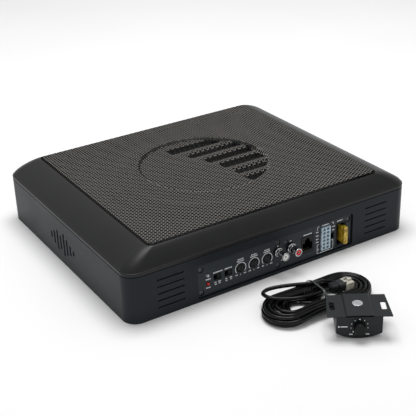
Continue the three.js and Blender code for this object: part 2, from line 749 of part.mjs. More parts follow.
// The bracket's middle is pressed up a step above its two slotted ears.
function levelBracket() {
  const low = LEVEL_TOP + GAP;
  const thick = 1.2;
  const step = 1;
  const section = polygon([
    [-30, low], [-12.4, low], [-11.2, low + step], [11.2, low + step], [12.4, low], [30, low],
    [30, low + thick], [12.4, low + thick], [11.2, low + thick + step], [-11.2, low + thick + step],
    [-12.4, low + thick], [-30, low + thick],
  ]);
  const blank = slab(section, [-0.5, 34.5]);
  const plan = polygon([[-28.6, -0.5], [28.6, -0.5], [26.2, 34.5], [-26.2, 34.5]]);
  const slots = [-1, 1].map((side) => {
    const x = side * 22.6;
    return raised(roundedRect([x - 2.3, x + 2.3], [10, 22.5], 1.2), [low - 1, low + 4], 2);
  });
  return without(blank.intersect(raised(plan, [low - 1, low + 4])), slots);
}

function levelKnob() {
  return turnedY([[0, -6.5], [4.7, -6.5], [5.4, -5.9], [5.6, -GAP], [1.5, -GAP], [1.5, 6], [0, 6]],
    0, KNOB_Z, 16);
}

function levelPotentiometer() {
  const body = box([-5.5, 5.5], [2 + GAP, 9.5], [KNOB_Z - 5, KNOB_Z + 5.5]);
  return body.subtract(rodY(0, KNOB_Z, 1.8, [1, 6.6], 12));
}

// ---------------------------------------------------------------- lead, hank, plug and tie

const LEAD_START = [
  [8.9, -239.9, 9], [11.6, -235.9, 8.2], [15.6, -232.2, 6.6], [20.2, -229.6, 5],
];
const LEAD_END = [
  [14, -191, 13.4], [5.5, -188.6, 13.4], [-3, -185, 13.4], [-12, -180.6, 13.4], [-21, -175.8, 12.8],
  [-30, -171.6, 12], [-37.5, -169.8, 11.4], [-43.4, -171.8, 11.4], [-46.8, -176.8, 13],
  [-46.6, -183, 13.5], [-42.8, -189, 13.5], [-36.5, -194.2, 13.5], [-29, -198.6, 13.5],
  [-20, -202, 13.5], [-11, -203.8, 13.5], [-2, -204.2, 13.2], [4.5, -203.8, 12.7], [9.3, -203.4, 12.5],
];

function leadTube(points, steps) {
  const path = new THREE.CatmullRomCurve3(points.map((point) => new THREE.Vector3(...point)));
  const section = new THREE.Shape();
  section.absarc(0, 0, LEAD_DIAMETER / 2, 0, Math.PI * 2);
  const options = { steps, extrudePath: path, bevelEnabled: false, curveSegments: 4 };
  return solid(new THREE.ExtrudeGeometry(section, options));
}

const hankGroup = new THREE.Group();
hankGroup.position.set(HANK.x, HANK.y, 0);
hankGroup.rotation.z = HANK.turn;
group.add(hankGroup);

function stadium(radius) {
  const shape = new THREE.Shape();
  shape.absarc(HANK.halfStraight, 0, radius, -Math.PI / 2, Math.PI / 2);
  shape.absarc(-HANK.halfStraight, 0, radius, Math.PI / 2, Math.PI * 1.5);
  return shape;
}

// The hank's turns as one body: hollowed in the middle, where the plug lies, and slotted for the tie.
function leadHank() {
  const body = raised(stadium(HANK_OUTER), [GAP, HANK_TOP], 6)
    .subtract(raised(stadium(HANK_INNER), [HANK_FLOOR, HANK_TOP + 1], 5));
  const slot = [TIE_U - 2, TIE_U + 2];
  return without(body, [
    box(slot, [-8.4, HANK_OUTER + 1], [0, 1.4]),
    box(slot, [-8.4, -6.4], [0, HANK_TOP + 1]),
  ]);
}

// The tie runs round the back of the hank and the lead that lies over it.
function twistTie() {
  const along = [TIE_U - 1.5, TIE_U + 1.5];
  const ring = box(along, [-8.1, HANK_OUTER + 1.2], [0.1, 16.8]);
  return ring.subtract(box([along[0] - 1, along[1] + 1], [-7.2, HANK_OUTER + 0.3], [1.1, 15.9]));
}

const plugGroup = new THREE.Group();
plugGroup.position.set(9.5, -203.4, 12.5);
plugGroup.rotation.z = THREE.MathUtils.degToRad(-3);
group.add(plugGroup);

// A ribbed rubber boot, then the modular plug with its latch on top; both run along +X.
function plugBoot() {
  const sleeve = box([GAP, 11], [-4.6, 4.6], [-3.8, 3.8]);
  const ribs = [1.6, 4, 6.4].map((x) => box([x, x + 1.3], [-5.6, 5.6], [-4.6, 4.6]));
  return joined([sleeve, ...ribs]);
}

function modularPlug() {
  const body = box([11.3, 24], [-5.8, 5.8], [-4, 3]);
  const latch = bar(polygon([[-1.6, 2.8], [1.6, 2.8], [1.6, 4.6], [-1.6, 4.6]]), [15, 24]);
  const wedge = box([15, 19.5], [-3, 3], [3.4, 6]);
  const contacts = Array.from({ length: 8 }, (_, i) => {
    const y = (i - 3.5) * 1.27;
    return box([20.5, 25], [y - 0.3, y + 0.3], [-5, -3.2]);
  });
  return without(joined([body, latch]), [wedge, ...contacts]);
}

// ---------------------------------------------------------------- assembly

addPart("base_tub", baseTub(), TUB_PLASTIC);
addPart("top_cover", topCover(), COVER_PLASTIC);
addPart("speaker_grille", speakerGrille(), GRILLE_STEEL);
addPart("control_panel", controlPanel(), PANEL_PLASTIC);
PANEL_SCREWS.forEach(([x, z], i) => {
  addPart(`panel_screw_${i + 1}`, panelScrew(x, z, PANEL_BACK_Y + 5.5), BLACK_SCREW);
});
addPart("rca_screw", panelScrew(...RCA_SCREW, PANEL_BACK_Y), BLACK_SCREW);
COVER_SCREWS.forEach(([x, y], i) => {
  addPart(`cover_screw_${i + 1}`, coverScrew(x, y), BLACK_SCREW);
});

for (const [name, z] of INDICATORS) {
  const color = name === "red" ? 0xd2232a : 0xe6e8ee;
  addPart(`indicator_${name}`, indicatorLens(z), [color, 0.15, 0]);
}
SWITCH_X.forEach((x, i) => {
  addPart(`switch_body_${i + 1}`, switchBody(x), BLACK_PLASTIC);
  addPart(`switch_slider_${i + 1}`, switchSlider(x), BLACK_PLASTIC);
});
TRIMMER_X.forEach((x, i) => {
  addPart(`trimmer_body_${i + 1}`, trimmerBody(x), BLACK_PLASTIC);
  addPart(`trimmer_knob_${i + 1}`, trimmerKnob(x), BLACK_PLASTIC);
});
addPart("rca_block", rcaBlock(), BLACK_PLASTIC);
for (const [name, x] of RCA_JACKS) {
  addPart(`rca_shell_${name}`, rcaShell(x), CHROME);
  addPart(`rca_insert_${name}`, rcaInsert(x), [name === "red" ? 0xc81e2b : 0xeceae2, 0.4, 0]);
}
addPart("remote_socket", remoteSocket(), BLACK_PLASTIC);
addPart("power_socket", powerSocket(), [0xa9b8c0, 0.5, 0]);
addPart("fuse_holder", fuseHolder(), BLACK_PLASTIC);
addPart("blade_fuse", bladeFuse(), [0xd2a91c, 0.2, 0]);

addPart("woofer_basket", wooferBasket(), BLACK_SCREW);
addPart("woofer_surround", wooferSurround(), RUBBER);
addPart("woofer_cone", wooferCone(), CONE_PAPER);
addPart("dust_cap", dustCap(), CONE_PAPER);
addPart("voice_coil", tube(23.8, 24.9, [17, 43]), [0xb0703a, 0.4, 0.8]);
addPart("woofer_spider", wooferSpider(), [0xc9a55a, 0.9, 0]);
addPart("top_plate", tube(26.2, 46, [24, 30]), STEEL);
addPart("magnet", tube(27.5, 49, [11.3, 23.7]), [0x2a2a2c, 0.7, 0.2]);
addPart("yoke", wooferYoke(), STEEL);

addPart("amplifier_board", amplifierBoard(), [0x1d5a34, 0.5, 0]);
addPart("heatsink_bar", heatsinkBar(), [0xb5b8ba, 0.4, 1]);
addPart("supply_capacitor", supplyCapacitor(), [0x22252a, 0.4, 0]);
addPart("supply_transformer", supplyTransformer(), [0xb0703a, 0.4, 0.6]);

addPart("level_housing", levelHousing(), TUB_PLASTIC, levelGroup);
addPart("level_bracket", levelBracket(), TUB_PLASTIC, levelGroup);
addPart("level_label", rodZ(0, 18, 4.7, [24.8, 25.2], 16), [0xb9bcc0, 0.35, 0.6], levelGroup);
addPart("level_knob", levelKnob(), BLACK_PLASTIC, levelGroup);
addPart("level_potentiometer", levelPotentiometer(), STEEL, levelGroup);

addPart("lead_start", leadTube(LEAD_START, 9), LEAD_PVC);
addPart("lead_end", leadTube(LEAD_END, 34), LEAD_PVC);
addPart("lead_hank", leadHank(), LEAD_PVC, hankGroup);
addPart("twist_tie", twistTie(), BLACK_PLASTIC, hankGroup);
addPart("plug_boot", plugBoot(), RUBBER, plugGroup);
addPart("modular_plug", modularPlug(), [0xd9dcd8, 0.1, 0], plugGroup);

export default group;
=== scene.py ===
import math
import random

import bmesh
import bpy
from mathutils import Matrix, Vector


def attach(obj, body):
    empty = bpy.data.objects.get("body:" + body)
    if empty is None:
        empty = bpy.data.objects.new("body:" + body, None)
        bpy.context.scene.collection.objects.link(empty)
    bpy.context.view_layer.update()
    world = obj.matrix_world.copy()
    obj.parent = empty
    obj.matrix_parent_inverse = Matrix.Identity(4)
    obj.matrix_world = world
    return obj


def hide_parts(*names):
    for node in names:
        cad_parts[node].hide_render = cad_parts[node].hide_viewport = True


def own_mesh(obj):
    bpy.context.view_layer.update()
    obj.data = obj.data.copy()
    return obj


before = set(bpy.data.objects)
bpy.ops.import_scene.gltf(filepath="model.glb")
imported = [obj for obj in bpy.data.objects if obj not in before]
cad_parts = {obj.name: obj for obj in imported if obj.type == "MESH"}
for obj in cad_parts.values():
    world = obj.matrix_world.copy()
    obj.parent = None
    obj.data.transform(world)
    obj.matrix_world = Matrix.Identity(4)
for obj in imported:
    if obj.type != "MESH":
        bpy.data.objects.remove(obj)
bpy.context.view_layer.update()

# ---------------- dimensions, in millimetres

MM = 0.001
WIDTH, DEPTH, CORNER = 330.0, 274.0, 14.4
WALL, GAP = 3.0, 0.3
TUB_TOP, COVER_BOTTOM, CREASE_Z, RIM_Z = 48.2, 48.8, 52.0, 67.7
BEZEL_SIDE, BEZEL_FRONT, BEZEL_BACK, BEZEL_POWER = 30.9, 13.5, 17.0, 1.31
OPENING_RADIUS = 6.0
LEDGE_Z, GRILLE_TOP = 64.6, 68.9
DECK = (49.6, 52.4)
FRONT = -DEPTH / 2
PANEL_FACE = FRONT + 2.0
PANEL_BACK = PANEL_FACE + 2.5
PANEL = (-91.6, 91.6, 3.9, 37.8)
PANEL_SCREWS = [(-87.6, 32.5), (0.2, 32.9), (87.6, 32.5), (-87.6, 7.9), (0.2, 7.9), (87.6, 7.9)]
RCA_SCREW = (10.0, 30.0)
INDICATORS = {"clear": 24.4, "red": 15.6}
INDICATOR_X = -80.3
SWITCH_X, SWITCH_Z, SWITCH_TRAVEL = (-69.6, -57.4), 19.7, 4.0
TRIMMER_X, TRIMMER_Z = (-43.4, -28.0, -12.6), 20.1
RCA_JACKS, RCA_Z, RCA_LENGTH = {"white": 0.2, "red": 15.5}, 23.6, 13.5
REMOTE = (36.15, 20.15, 15.1, 18.3)
POWER = (58.6, 20.3, 11.3, 25.2)
FUSE_HOLDER = (72.6, 84.1, 6.4, 31.4)
FUSE_X, FUSE_Z, FUSE_WIDTH, FUSE_THICK = 80.3, 18.6, 19.1, 5.1
VENT_LENGTH, VENT_CENTRES, VENT_TOP, VENT_PITCH, VENT_COUNT = 28.4, (-120.6, 122.4), 38.9, 7.2, 5
RELIEF_X, RELIEF_Y, RELIEF_RADIUS, RELIEF_DEPTH = 2.0, 0.0, 69.5, 2.2
LOUVRES, LOUVRE_PITCH, LOUVRE_TOP, LOUVRE_DEPTH = 6, 20.6, 54.5, 4.2
WOOFER_Y = 6.0
COVER_SCREWS = [(-150, -122), (150, -122), (150, 122), (-150, 122)]
LEVEL_PLACE, LEVEL_TURN = (-8.2, -266.2, 0.0), math.radians(-33)
LEVEL_DEPTH, LEVEL_TOP, KNOB_Z = 26.0, 22.0, 12.4
PLUG_PLACE, PLUG_TURN = (9.5, -203.4, 12.5), math.radians(-3)
LEAD_DIAMETER = 3.7
HANK_PLACE, HANK_TURN, HANK_HALF = (-4.0, -202.0, 0.0), math.radians(-2), 33.0

# ---------------- camera

SENSOR_WIDTH, FOCAL_LENGTH = 36.0, 82.19
CAMERA_YAW, CAMERA_ELEVATION, CAMERA_ROLL = math.radians(-31.458), math.radians(26.840), math.radians(-1.981)
CAMERA_PLACE = Vector((-474.594, -784.098, 479.161)) * MM


def linked(name, data):
    """A new object in the scene."""
    obj = bpy.data.objects.new(name, data)
    bpy.context.scene.collection.objects.link(obj)
    return obj


def make_camera():
    data = bpy.data.cameras.new("camera")
    data.sensor_width = SENSOR_WIDTH
    data.lens = FOCAL_LENGTH
    data.clip_end = 20.0
    camera = linked("camera", data)
    ca, sa = math.cos(CAMERA_YAW), math.sin(CAMERA_YAW)
    ce, se = math.cos(CAMERA_ELEVATION), math.sin(CAMERA_ELEVATION)
    back = Vector((sa * ce, -ca * ce, se))
    right = (-back).cross(Vector((0, 0, 1))).normalized()
    up = right.cross(-back)
    c, s = math.cos(CAMERA_ROLL), math.sin(CAMERA_ROLL)
    axes = Matrix((c * right + s * up, -s * right + c * up, back)).transposed()
    camera.matrix_world = Matrix.Translation(CAMERA_PLACE) @ axes.to_4x4()
    bpy.context.scene.camera = camera


make_camera()

# ---------------- node materials


class Nodes:
    """A material's node tree, with short ways to add and link nodes."""

    def __init__(self, name):
        self.material = bpy.data.materials.new(name)
        self.material.use_nodes = True
        self.tree = self.material.node_tree
        self.shader = self.tree.nodes["Principled BSDF"]

    def add(self, kind, **settings):
        node = self.tree.nodes.new(kind)
        for key, value in settings.items():
            setattr(node, key, value)
        return node

    def link(self, source, target):
        self.tree.links.new(source, target)

    def feed(self, **sources):
        """Links sources to the shader's inputs, with an underscore for a space."""
        for key, source in sources.items():
            self.link(source, self.shader.inputs[key.replace("_", " ")])

    def put(self, socket, value):
        """Links a value to a socket when it is another socket, and sets it otherwise."""
        if isinstance(value, bpy.types.NodeSocket):
            self.link(value, socket)
        else:
            socket.default_value = value

    def attribute(self, name):
        return self.add("ShaderNodeAttribute", attribute_name=name).outputs["Fac"]

    def calculate(self, operation, *values):
        node = self.add("ShaderNodeMath", operation=operation)
        for socket, value in zip(node.inputs, values):
            self.put(socket, value)
        return node.outputs[0]

    def noise(self, size_mm, detail=2.0, stretch=(1, 1, 1)):
        place = self.add("ShaderNodeTexCoord")
        mapping = self.add("ShaderNodeMapping")
        mapping.inputs["Scale"].default_value = stretch
        noise = self.add("ShaderNodeTexNoise")
        noise.inputs["Scale"].default_value = 1.0 / (size_mm * MM)
        noise.inputs["Detail"].default_value = detail
        self.link(place.outputs["Object"], mapping.inputs["Vector"])
        self.link(mapping.outputs["Vector"], noise.inputs["Vector"])
        return noise.outputs["Fac"]

    def span(self, value, low, high, from_low=0.3, from_high=0.7):
        spread = self.add("ShaderNodeMapRange")
        spread.inputs["From Min"].default_value = from_low
        spread.inputs["From Max"].default_value = from_high
        spread.inputs["To Min"].default_value = low
        spread.inputs["To Max"].default_value = high
        self.link(value, spread.inputs["Value"])
        return spread.outputs["Result"]

    def mix(self, factor, first, second):
        mix = self.add("ShaderNodeMix", data_type="RGBA")
        for key, value in (("Factor", factor), ("A", first), ("B", second)):
            self.put(mix.inputs[key], (*value, 1.0) if isinstance(value, tuple) else value)
        return mix.outputs["Result"]

    def bump(self, height, depth_mm):
        bump = self.add("ShaderNodeBump")
        bump.inputs["Distance"].default_value = depth_mm * MM
        self.link(height, bump.inputs["Height"])
        self.link(bump.outputs["Normal"], self.shader.inputs["Normal"])

    def set(self, **values):
        for key, value in values.items():
            self.shader.inputs[key.replace("_", " ")].default_value = value


def shade(color, factor):
    return tuple(min(1.0, channel * factor) for channel in color)


MOTTLE_SIZE, EDGE_RANGE, WORN_TONE = 55.0, (0.52, 0.6), 1.9


def moulded(name, color, rough, grain_mm=0.5, grain_depth=0.02, wear=0.5, mottle=0.12, specular=0.5):
    """Moulded plastic or paint: fine grain, slow tone changes and paler handled edges."""
    m = Nodes(name)
    slow = m.noise(MOTTLE_SIZE, 3.0)
    tone = m.mix(m.span(slow, 0.0, 1.0), shade(color, 1 - mottle), shade(color, 1 + mottle))
    fine = m.noise(grain_mm, 2.0)
    if wear:
        edge = m.add("ShaderNodeNewGeometry").outputs["Pointiness"]
        worn = m.span(edge, 0.0, wear, *EDGE_RANGE)
        tone = m.mix(worn, tone, shade(color, WORN_TONE))
    m.feed(Base_Color=tone, Roughness=m.span(slow, rough - 0.04, rough + 0.04))
    m.bump(fine, grain_depth)
    m.set(Specular_IOR_Level=specular)
    return m.material


def metal(name, color, rough, brush=(1, 1, 1), size_mm=0.6, depth=0.01, spread=0.06):
    m = Nodes(name)
    fine = m.noise(size_mm, 3.0, brush)
    slow = m.noise(6.0, 2.0)
    m.feed(Base_Color=m.mix(m.span(slow, 0.0, 1.0), shade(color, 0.9), shade(color, 1.08)),
           Roughness=m.span(fine, rough - spread, rough + spread))
    m.bump(fine, depth)
    m.set(Metallic=1.0)
    return m.material


CLEAR_IOR = 1.5


def clear(name, color, rough, through):
    m = Nodes(name)
    slow = m.noise(3.0, 2.0)
    m.feed(Base_Color=m.mix(m.span(slow, 0.0, 1.0), shade(color, 0.85), shade(color, 1.1)),
           Roughness=m.span(slow, rough, rough + 0.08))
    m.set(Transmission_Weight=through, IOR=CLEAR_IOR)
    return m.material


def clear_with_painted_glints(name, dark, light, size_mm, rough, through):
    """Tinted clear plastic with strong light and dark patches: painted glints and painted shade, standing in
    for the light that moulded ribs and a metal strip catch and block.
    """
    m = Nodes(name)
    glint_and_shade_patches = m.noise(size_mm, 3.0, (1, 1, 0.5))
    m.feed(Base_Color=m.mix(m.span(glint_and_shade_patches, 0.0, 1.0, 0.38, 0.62), dark, light),
           Roughness=m.span(glint_and_shade_patches, rough, rough + 0.08))
    m.set(Transmission_Weight=through, IOR=CLEAR_IOR)
    return m.material


DASH_PITCH, DASH_SHARE = 3.1, 0.55
DASH_GROUP, GROUP_SHARE = 61.0, 0.16
PRINT_SIDE, PRINT_REACH = 0.25, 0.03


def lead_material(name):
    """Glossy PVC with a faint row of plain print dashes, in groups, along one side."""
    m = Nodes(name)
    fine = m.noise(1.2, 2.0)
    along = m.attribute("along")
    printed = m.calculate("COMPARE", m.attribute("around"), PRINT_SIDE, PRINT_REACH)
    for pitch, share in ((DASH_PITCH, DASH_SHARE), (DASH_GROUP, GROUP_SHARE)):
        within = m.calculate("FRACT", m.calculate("MULTIPLY", along, 1.0 / pitch))
        printed = m.calculate("MULTIPLY", m.calculate("LESS_THAN", within, share), printed)
    tone = m.mix(m.span(fine, 0.0, 1.0), (0.0022, 0.0024, 0.0026), (0.004, 0.0043, 0.0046))
    m.feed(Base_Color=m.mix(printed, tone, (0.2, 0.2, 0.2)), Roughness=m.span(fine, 0.09, 0.14))
    m.bump(fine, 0.015)
    m.set(Specular_IOR_Level=0.2)
    return m.material


def perforated_paint_with_painted_light(name, low, high, rough):
    """Painted sheet with painted light: near-black painted shade at the rims of the holes, paler painted
    highlights on the raised points between them.
    """
    m = Nodes(name)
    painted_light_level = m.attribute("painted_light_level")
    slow = m.noise(40.0, 2.0)
    fine = m.noise(0.5, 2.0)
    # low is the painted shade of the hole rims and louvres, high the painted highlight of the raised web.
    tone = m.mix(m.span(painted_light_level, 0.0, 1.0, 0.3, 0.9), low, high)
    m.feed(Base_Color=m.mix(m.span(slow, 0.0, 0.1), tone, shade(high, 0.1)),
           Roughness=m.span(fine, rough - 0.03, rough + 0.03))
    m.set(Specular_IOR_Level=0.12)
    m.bump(fine, 0.01)
    return m.material


def woven(name, color):
    m = Nodes(name)
    fine = m.noise(0.8, 3.0)
    m.feed(Base_Color=m.mix(m.span(fine, 0.0, 1.0), shade(color, 0.6), shade(color, 1.2)))
    m.bump(fine, 0.15)
    m.set(Roughness=0.9)
    return m.material


def floor_material():
    m = Nodes("floor_paper")
    slow = m.noise(300.0, 2.0)
    m.feed(Base_Color=m.mix(m.span(slow, 0.0, 1.0), (0.83, 0.83, 0.83), (0.85, 0.85, 0.85)))
    m.set(Roughness=0.95)
    return m.material


MATERIAL = {
    "tub": moulded("tub_plastic", (0.0125, 0.0153, 0.0190), 0.38, specular=0.13),
    "cover": moulded("cover_plastic", (0.0095, 0.0098, 0.0098), 0.38, specular=0.24),
    # The grille's near-black colour is painted shade at the hole rims and in the louvres; its pale colour is
    # painted highlight on the raised web.
    "grille": perforated_paint_with_painted_light("grille_paint_painted_light", (0.002, 0.002, 0.0019), (0.35, 0.333, 0.31), 0.45),
    "panel": moulded("panel_plastic", (0.022, 0.027, 0.031), 0.40, wear=0.3, specular=0.2),
    "print": moulded("white_print", (0.80, 0.82, 0.83), 0.5, grain_mm=0.2, grain_depth=0.004, wear=0.0),
    "black": moulded("black_plastic", (0.003, 0.0033, 0.0036), 0.33, wear=0.3, specular=0.22),
    "slider": moulded("slider_plastic", (0.011, 0.0115, 0.0125), 0.4, wear=0.4, specular=0.25),
    "screw": metal("black_screw", (0.10, 0.10, 0.105), 0.38),
    "basket": moulded("basket_paint", (0.006, 0.006, 0.006), 0.5, specular=0.2),
    "chrome": metal("jack_chrome", (0.62, 0.63, 0.64), 0.12, spread=0.03, depth=0.003),
    "steel": metal("bare_steel", (0.50, 0.51, 0.52), 0.32, brush=(1, 1, 8)),
    "aluminium": metal("heatsink_aluminium", (0.62, 0.63, 0.64), 0.35, brush=(8, 1, 1)),
    "foil": metal("label_foil", (0.50, 0.51, 0.53), 0.34, brush=(1, 10, 1), size_mm=0.4),
    "gold": metal("contact_gold", (0.83, 0.58, 0.22), 0.18),
    "copper": metal("copper_wire", (0.66, 0.30, 0.14), 0.35, brush=(1, 1, 20)),
    "jack_white": moulded("jack_white", (0.97, 0.96, 0.92), 0.3, wear=0.0, mottle=0.04),
    "jack_red": moulded("jack_red", (0.66, 0.016, 0.022), 0.3, wear=0.0, mottle=0.06),
    "connector": moulded("connector_plastic", (0.36, 0.46, 0.53), 0.42, wear=0.4, mottle=0.08),
    "rubber": moulded("rubber", (0.012, 0.0135, 0.0145), 0.42, grain_mm=0.8, wear=0.6, specular=0.3),
    "cone": moulded("cone_paper", (0.007, 0.007, 0.007), 0.7, grain_mm=1.5, grain_depth=0.1, wear=0.0,
                    specular=0.2),
    "ferrite": moulded("ferrite", (0.02, 0.02, 0.021), 0.6, grain_mm=1.0, grain_depth=0.05),
    "board": moulded("board_laminate", (0.015, 0.09, 0.03), 0.4, wear=0.0),
    "sleeve": moulded("capacitor_sleeve", (0.012, 0.014, 0.02), 0.25, wear=0.0),
    "level": moulded("level_plastic", (0.0085, 0.0112, 0.0125), 0.38, grain_mm=0.6, grain_depth=0.03,
                     specular=0.22),
    "knob": moulded("knob_plastic", (0.002, 0.0022, 0.0024), 0.36, wear=0.3, specular=0.2),
    "spider": woven("spider_cloth", (0.55, 0.38, 0.12)),
    "lead": lead_material("lead_pvc"),
    "tie": moulded("tie_plastic", (0.03, 0.032, 0.033), 0.3, wear=0.0),
    "clear": clear("clear_plastic", (0.74, 0.71, 0.62), 0.12, 0.45),
    "lens_clear": clear("lens_clear", (0.88, 0.89, 0.92), 0.08, 0.55),
    "lens_red": clear("lens_red", (0.75, 0.015, 0.02), 0.08, 0.35),
    # fuse: an amber clear plastic whose dark and light patches are painted shade and painted glints.
    "fuse": clear_with_painted_glints("fuse_plastic", (0.34, 0.20, 0.008), (0.88, 0.62, 0.06), 2.2, 0.10, 0.3),
}

# The plug's wires are of the white plastic.
MATERIAL["wire"] = MATERIAL["jack_white"]

# ---------------- mesh tools, working in millimetres


def reworked(mesh, change):
    """Makes a change to the mesh through bmesh."""
    work = bmesh.new()
    work.from_mesh(mesh)
    change(work)
    work.to_mesh(mesh)
    work.free()


def face_outwards(work):
    bmesh.ops.recalc_face_normals(work, faces=work.faces)


def made(name, points, faces):
    mesh = bpy.data.meshes.new(name)
    mesh.from_pydata([tuple(p) for p in points], [], faces)

    def clean(work):
        bmesh.ops.remove_doubles(work, verts=work.verts, dist=1e-5)
        face_outwards(work)

    reworked(mesh, clean)
    return linked(name, mesh)


def settle(obj):
    """Applies the object's modifiers."""
    graph = bpy.context.evaluated_depsgraph_get()
    mesh = bpy.data.meshes.new_from_object(obj.evaluated_get(graph))
    old = obj.data
    obj.modifiers.clear()
    obj.data = mesh
    bpy.data.meshes.remove(old)
    return obj


def discard(obj):
    mesh = obj.data
    bpy.data.objects.remove(obj)
    bpy.data.meshes.remove(mesh)


def combined(target, others, operation):
    if not others:
        return target
    pile = bpy.data.collections.new("pile")
    for other in others:
        bpy.context.scene.collection.objects.unlink(other)
        pile.objects.link(other)
    change = target.modifiers.new("combine", "BOOLEAN")
    change.operation = operation
    change.operand_type = "COLLECTION"
    change.collection = pile
    change.solver = "EXACT"
    settle(target)
    for other in others:
        discard(other)
    bpy.data.collections.remove(pile)
    return target


def without(target, *cutters):
    for cutter in cutters:
        combined(target, cutter if isinstance(cutter, list) else [cutter], "DIFFERENCE")
    return target


def joined(target, *others):
    for other in others:
        combined(target, other if isinstance(other, list) else [other], "UNION")
    return target


def faceted(obj):
    """Splits the many-sided faces that booleans leave, so that none of them spans an opening."""
    reworked(obj.data, lambda work: bmesh.ops.triangulate(
        work, faces=[f for f in work.faces if len(f.verts) > 4], ngon_method="EAR_CLIP"))
    return obj


def place_point(axis, a, b, c):
    """A point from outline coordinates a, b and height c along the named axis."""
    if axis == "Z":
        return (a, b, c)
    return (a, c, b) if axis == "Y" else (c, a, b)


def prism(outline, low, high, axis="Z"):
    count = len(outline)
    points = [place_point(axis, a, b, height) for height in (low, high) for a, b in outline]
    faces = [tuple(range(count)), tuple(range(count, 2 * count))]
    faces += [(i, (i + 1) % count, count + (i + 1) % count, count + i) for i in range(count)]
    return made("prism", points, faces)


def box(xs, ys, zs):
    (x0, x1), (y0, y1), (z0, z1) = xs, ys, zs
    return prism([(x0, y0), (x1, y0), (x1, y1), (x0, y1)], z0, z1)


def arc(cx, cy, radius, start, end, steps):
    return [
        (cx + radius * math.cos(math.radians(start + (end - start) * i / steps)),
         cy + radius * math.sin(math.radians(start + (end - start) * i / steps)))
        for i in range(steps + 1)
    ]


def rounded(x0, x1, y0, y1, radius, steps=8):
    return (arc(x1 - radius, y1 - radius, radius, 0, 90, steps)
            + arc(x0 + radius, y1 - radius, radius, 90, 180, steps)
            + arc(x0 + radius, y0 + radius, radius, 180, 270, steps)
            + arc(x1 - radius, y0 + radius, radius, 270, 360, steps))


def disc(x, y, radius, sides=32):
    return arc(x, y, radius, 0, 360 * (sides - 1) / sides, sides - 1)


def rod(x, y, radius, low, high, axis="Z", sides=32):
    return prism(disc(x, y, radius, sides), low, high, axis)


def softened(profile, radius=0.25, steps=2):
    """A closed or open profile with its sharp corners rounded."""
    closed = profile[0] == profile[-1]
    points = [Vector(p) for p in (profile[:-1] if closed else profile)]
    count = len(points)
    result = []
    for i, here in enumerate(points):
        before, after = points[i - 1], points[(i + 1) % count]
        if not closed and i in (0, count - 1):
            result.append(tuple(here))
            continue
        u, v = (before - here), (after - here)
        reach = min(radius, 0.4 * u.length, 0.4 * v.length)
        if u.length < 1e-6 or v.length < 1e-6 or u.normalized().dot(v.normalized()) < -0.97:
            result.append(tuple(here))
            continue
        start, end = here + u.normalized() * reach, here + v.normalized() * reach
        for k in range(steps + 1):
            t = k / steps
            result.append(tuple((1 - t) ** 2 * start + 2 * t * (1 - t) * here + t * t * end))
    if closed:
        result.append(result[0])
    return result


def turned(profile, x, y, axis="Z", sides=64, soft=0.25):
    """A solid of revolution from (radius, height) points, about an upright axis or one along Y."""
    profile = softened(profile, soft) if soft else profile
    closed = profile[0] == profile[-1]
    if closed:
        profile = profile[:-1]
    points, faces, rows = [], [], []
    for radius, height in profile:
        if radius < 1e-6:
            rows.append([len(points)] * sides)
            points.append(place_point(axis, x, y, height))
            continue
        rows.append(list(range(len(points), len(points) + sides)))
        for k in range(sides):
            angle = 2 * math.pi * k / sides
            a, b = x + radius * math.cos(angle), y + radius * math.sin(angle)
            points.append(place_point(axis, a, b, height))
    last = len(rows) if closed else len(rows) - 1
    for i in range(last):
        low, high = rows[i], rows[(i + 1) % len(rows)]
        for k in range(sides):
            ring = [low[k], low[(k + 1) % sides], high[(k + 1) % sides], high[k]]
            face = tuple(dict.fromkeys(ring))
            if len(face) > 2:
                faces.append(face)
    return made("turned", points, faces)


def skin(rings, closed_rings=True):
    """Quads between equal rings of points; the last ring joins the first when closed."""
    count = len(rings[0])
    points = [p for ring in rings for p in ring]
    faces = []
    for i in range(len(rings) if closed_rings else len(rings) - 1):
        j = (i + 1) % len(rings)
        faces += [(i * count + k, i * count + (k + 1) % count, j * count + (k + 1) % count, j * count + k)
                  for k in range(count)]
    if not closed_rings:
        faces += [tuple(range(count)), tuple(range((len(rings) - 1) * count, len(rings) * count))]
    return made("skin", points, faces)


def moved(obj, place, turn):
    obj.data.transform(Matrix.Translation(Vector(place)) @ Matrix.Rotation(turn, 4, "Z"))
    return obj


def creased(mesh, angle):
    """Smooth faces, with edges sharper than angle kept sharp."""
    limit = math.radians(angle)

    def smooth(work):
        for face in work.faces:
            face.smooth = True
        for edge in work.edges:
            edge.smooth = len(edge.link_faces) == 2 and edge.calc_face_angle(0.0) < limit

    reworked(mesh, smooth)


BEVEL_SEGMENTS, BEVEL_ANGLE, SHARP_ANGLE = 2, 30, 38


def piece(obj, name, material, body="enclosure", bevel=0, replaces=()):
    """Rounds a finished shape's edges, brings it to metres, and gives it its body and material."""
    if bevel:
        edges = obj.modifiers.new("edges", "BEVEL")
        edges.width = bevel
        edges.segments = BEVEL_SEGMENTS
        edges.limit_method = "ANGLE"
        edges.angle_limit = math.radians(BEVEL_ANGLE)
        edges.use_clamp_overlap = False
        edges.miter_outer = "MITER_ARC"
        settle(obj)
    creased(obj.data, SHARP_ANGLE)
    weights = obj.modifiers.new("weights", "WEIGHTED_NORMAL")
    weights.keep_sharp = True
    settle(obj)
    obj.data.transform(Matrix.Scale(MM, 4))
    obj.name = name
    obj.data.name = name
    obj.data.materials.clear()
    obj.data.materials.append(MATERIAL[material])
    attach(obj, body)
    if replaces:
        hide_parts(*replaces)
    return obj


def level_piece(obj, name, material, body="level_control", **settings):
    """As piece, for a shape modelled in the level control's own frame."""
    return piece(moved(obj, LEVEL_PLACE, LEVEL_TURN), name, material, body, **settings)


# ---------------- the lead: one continuous line

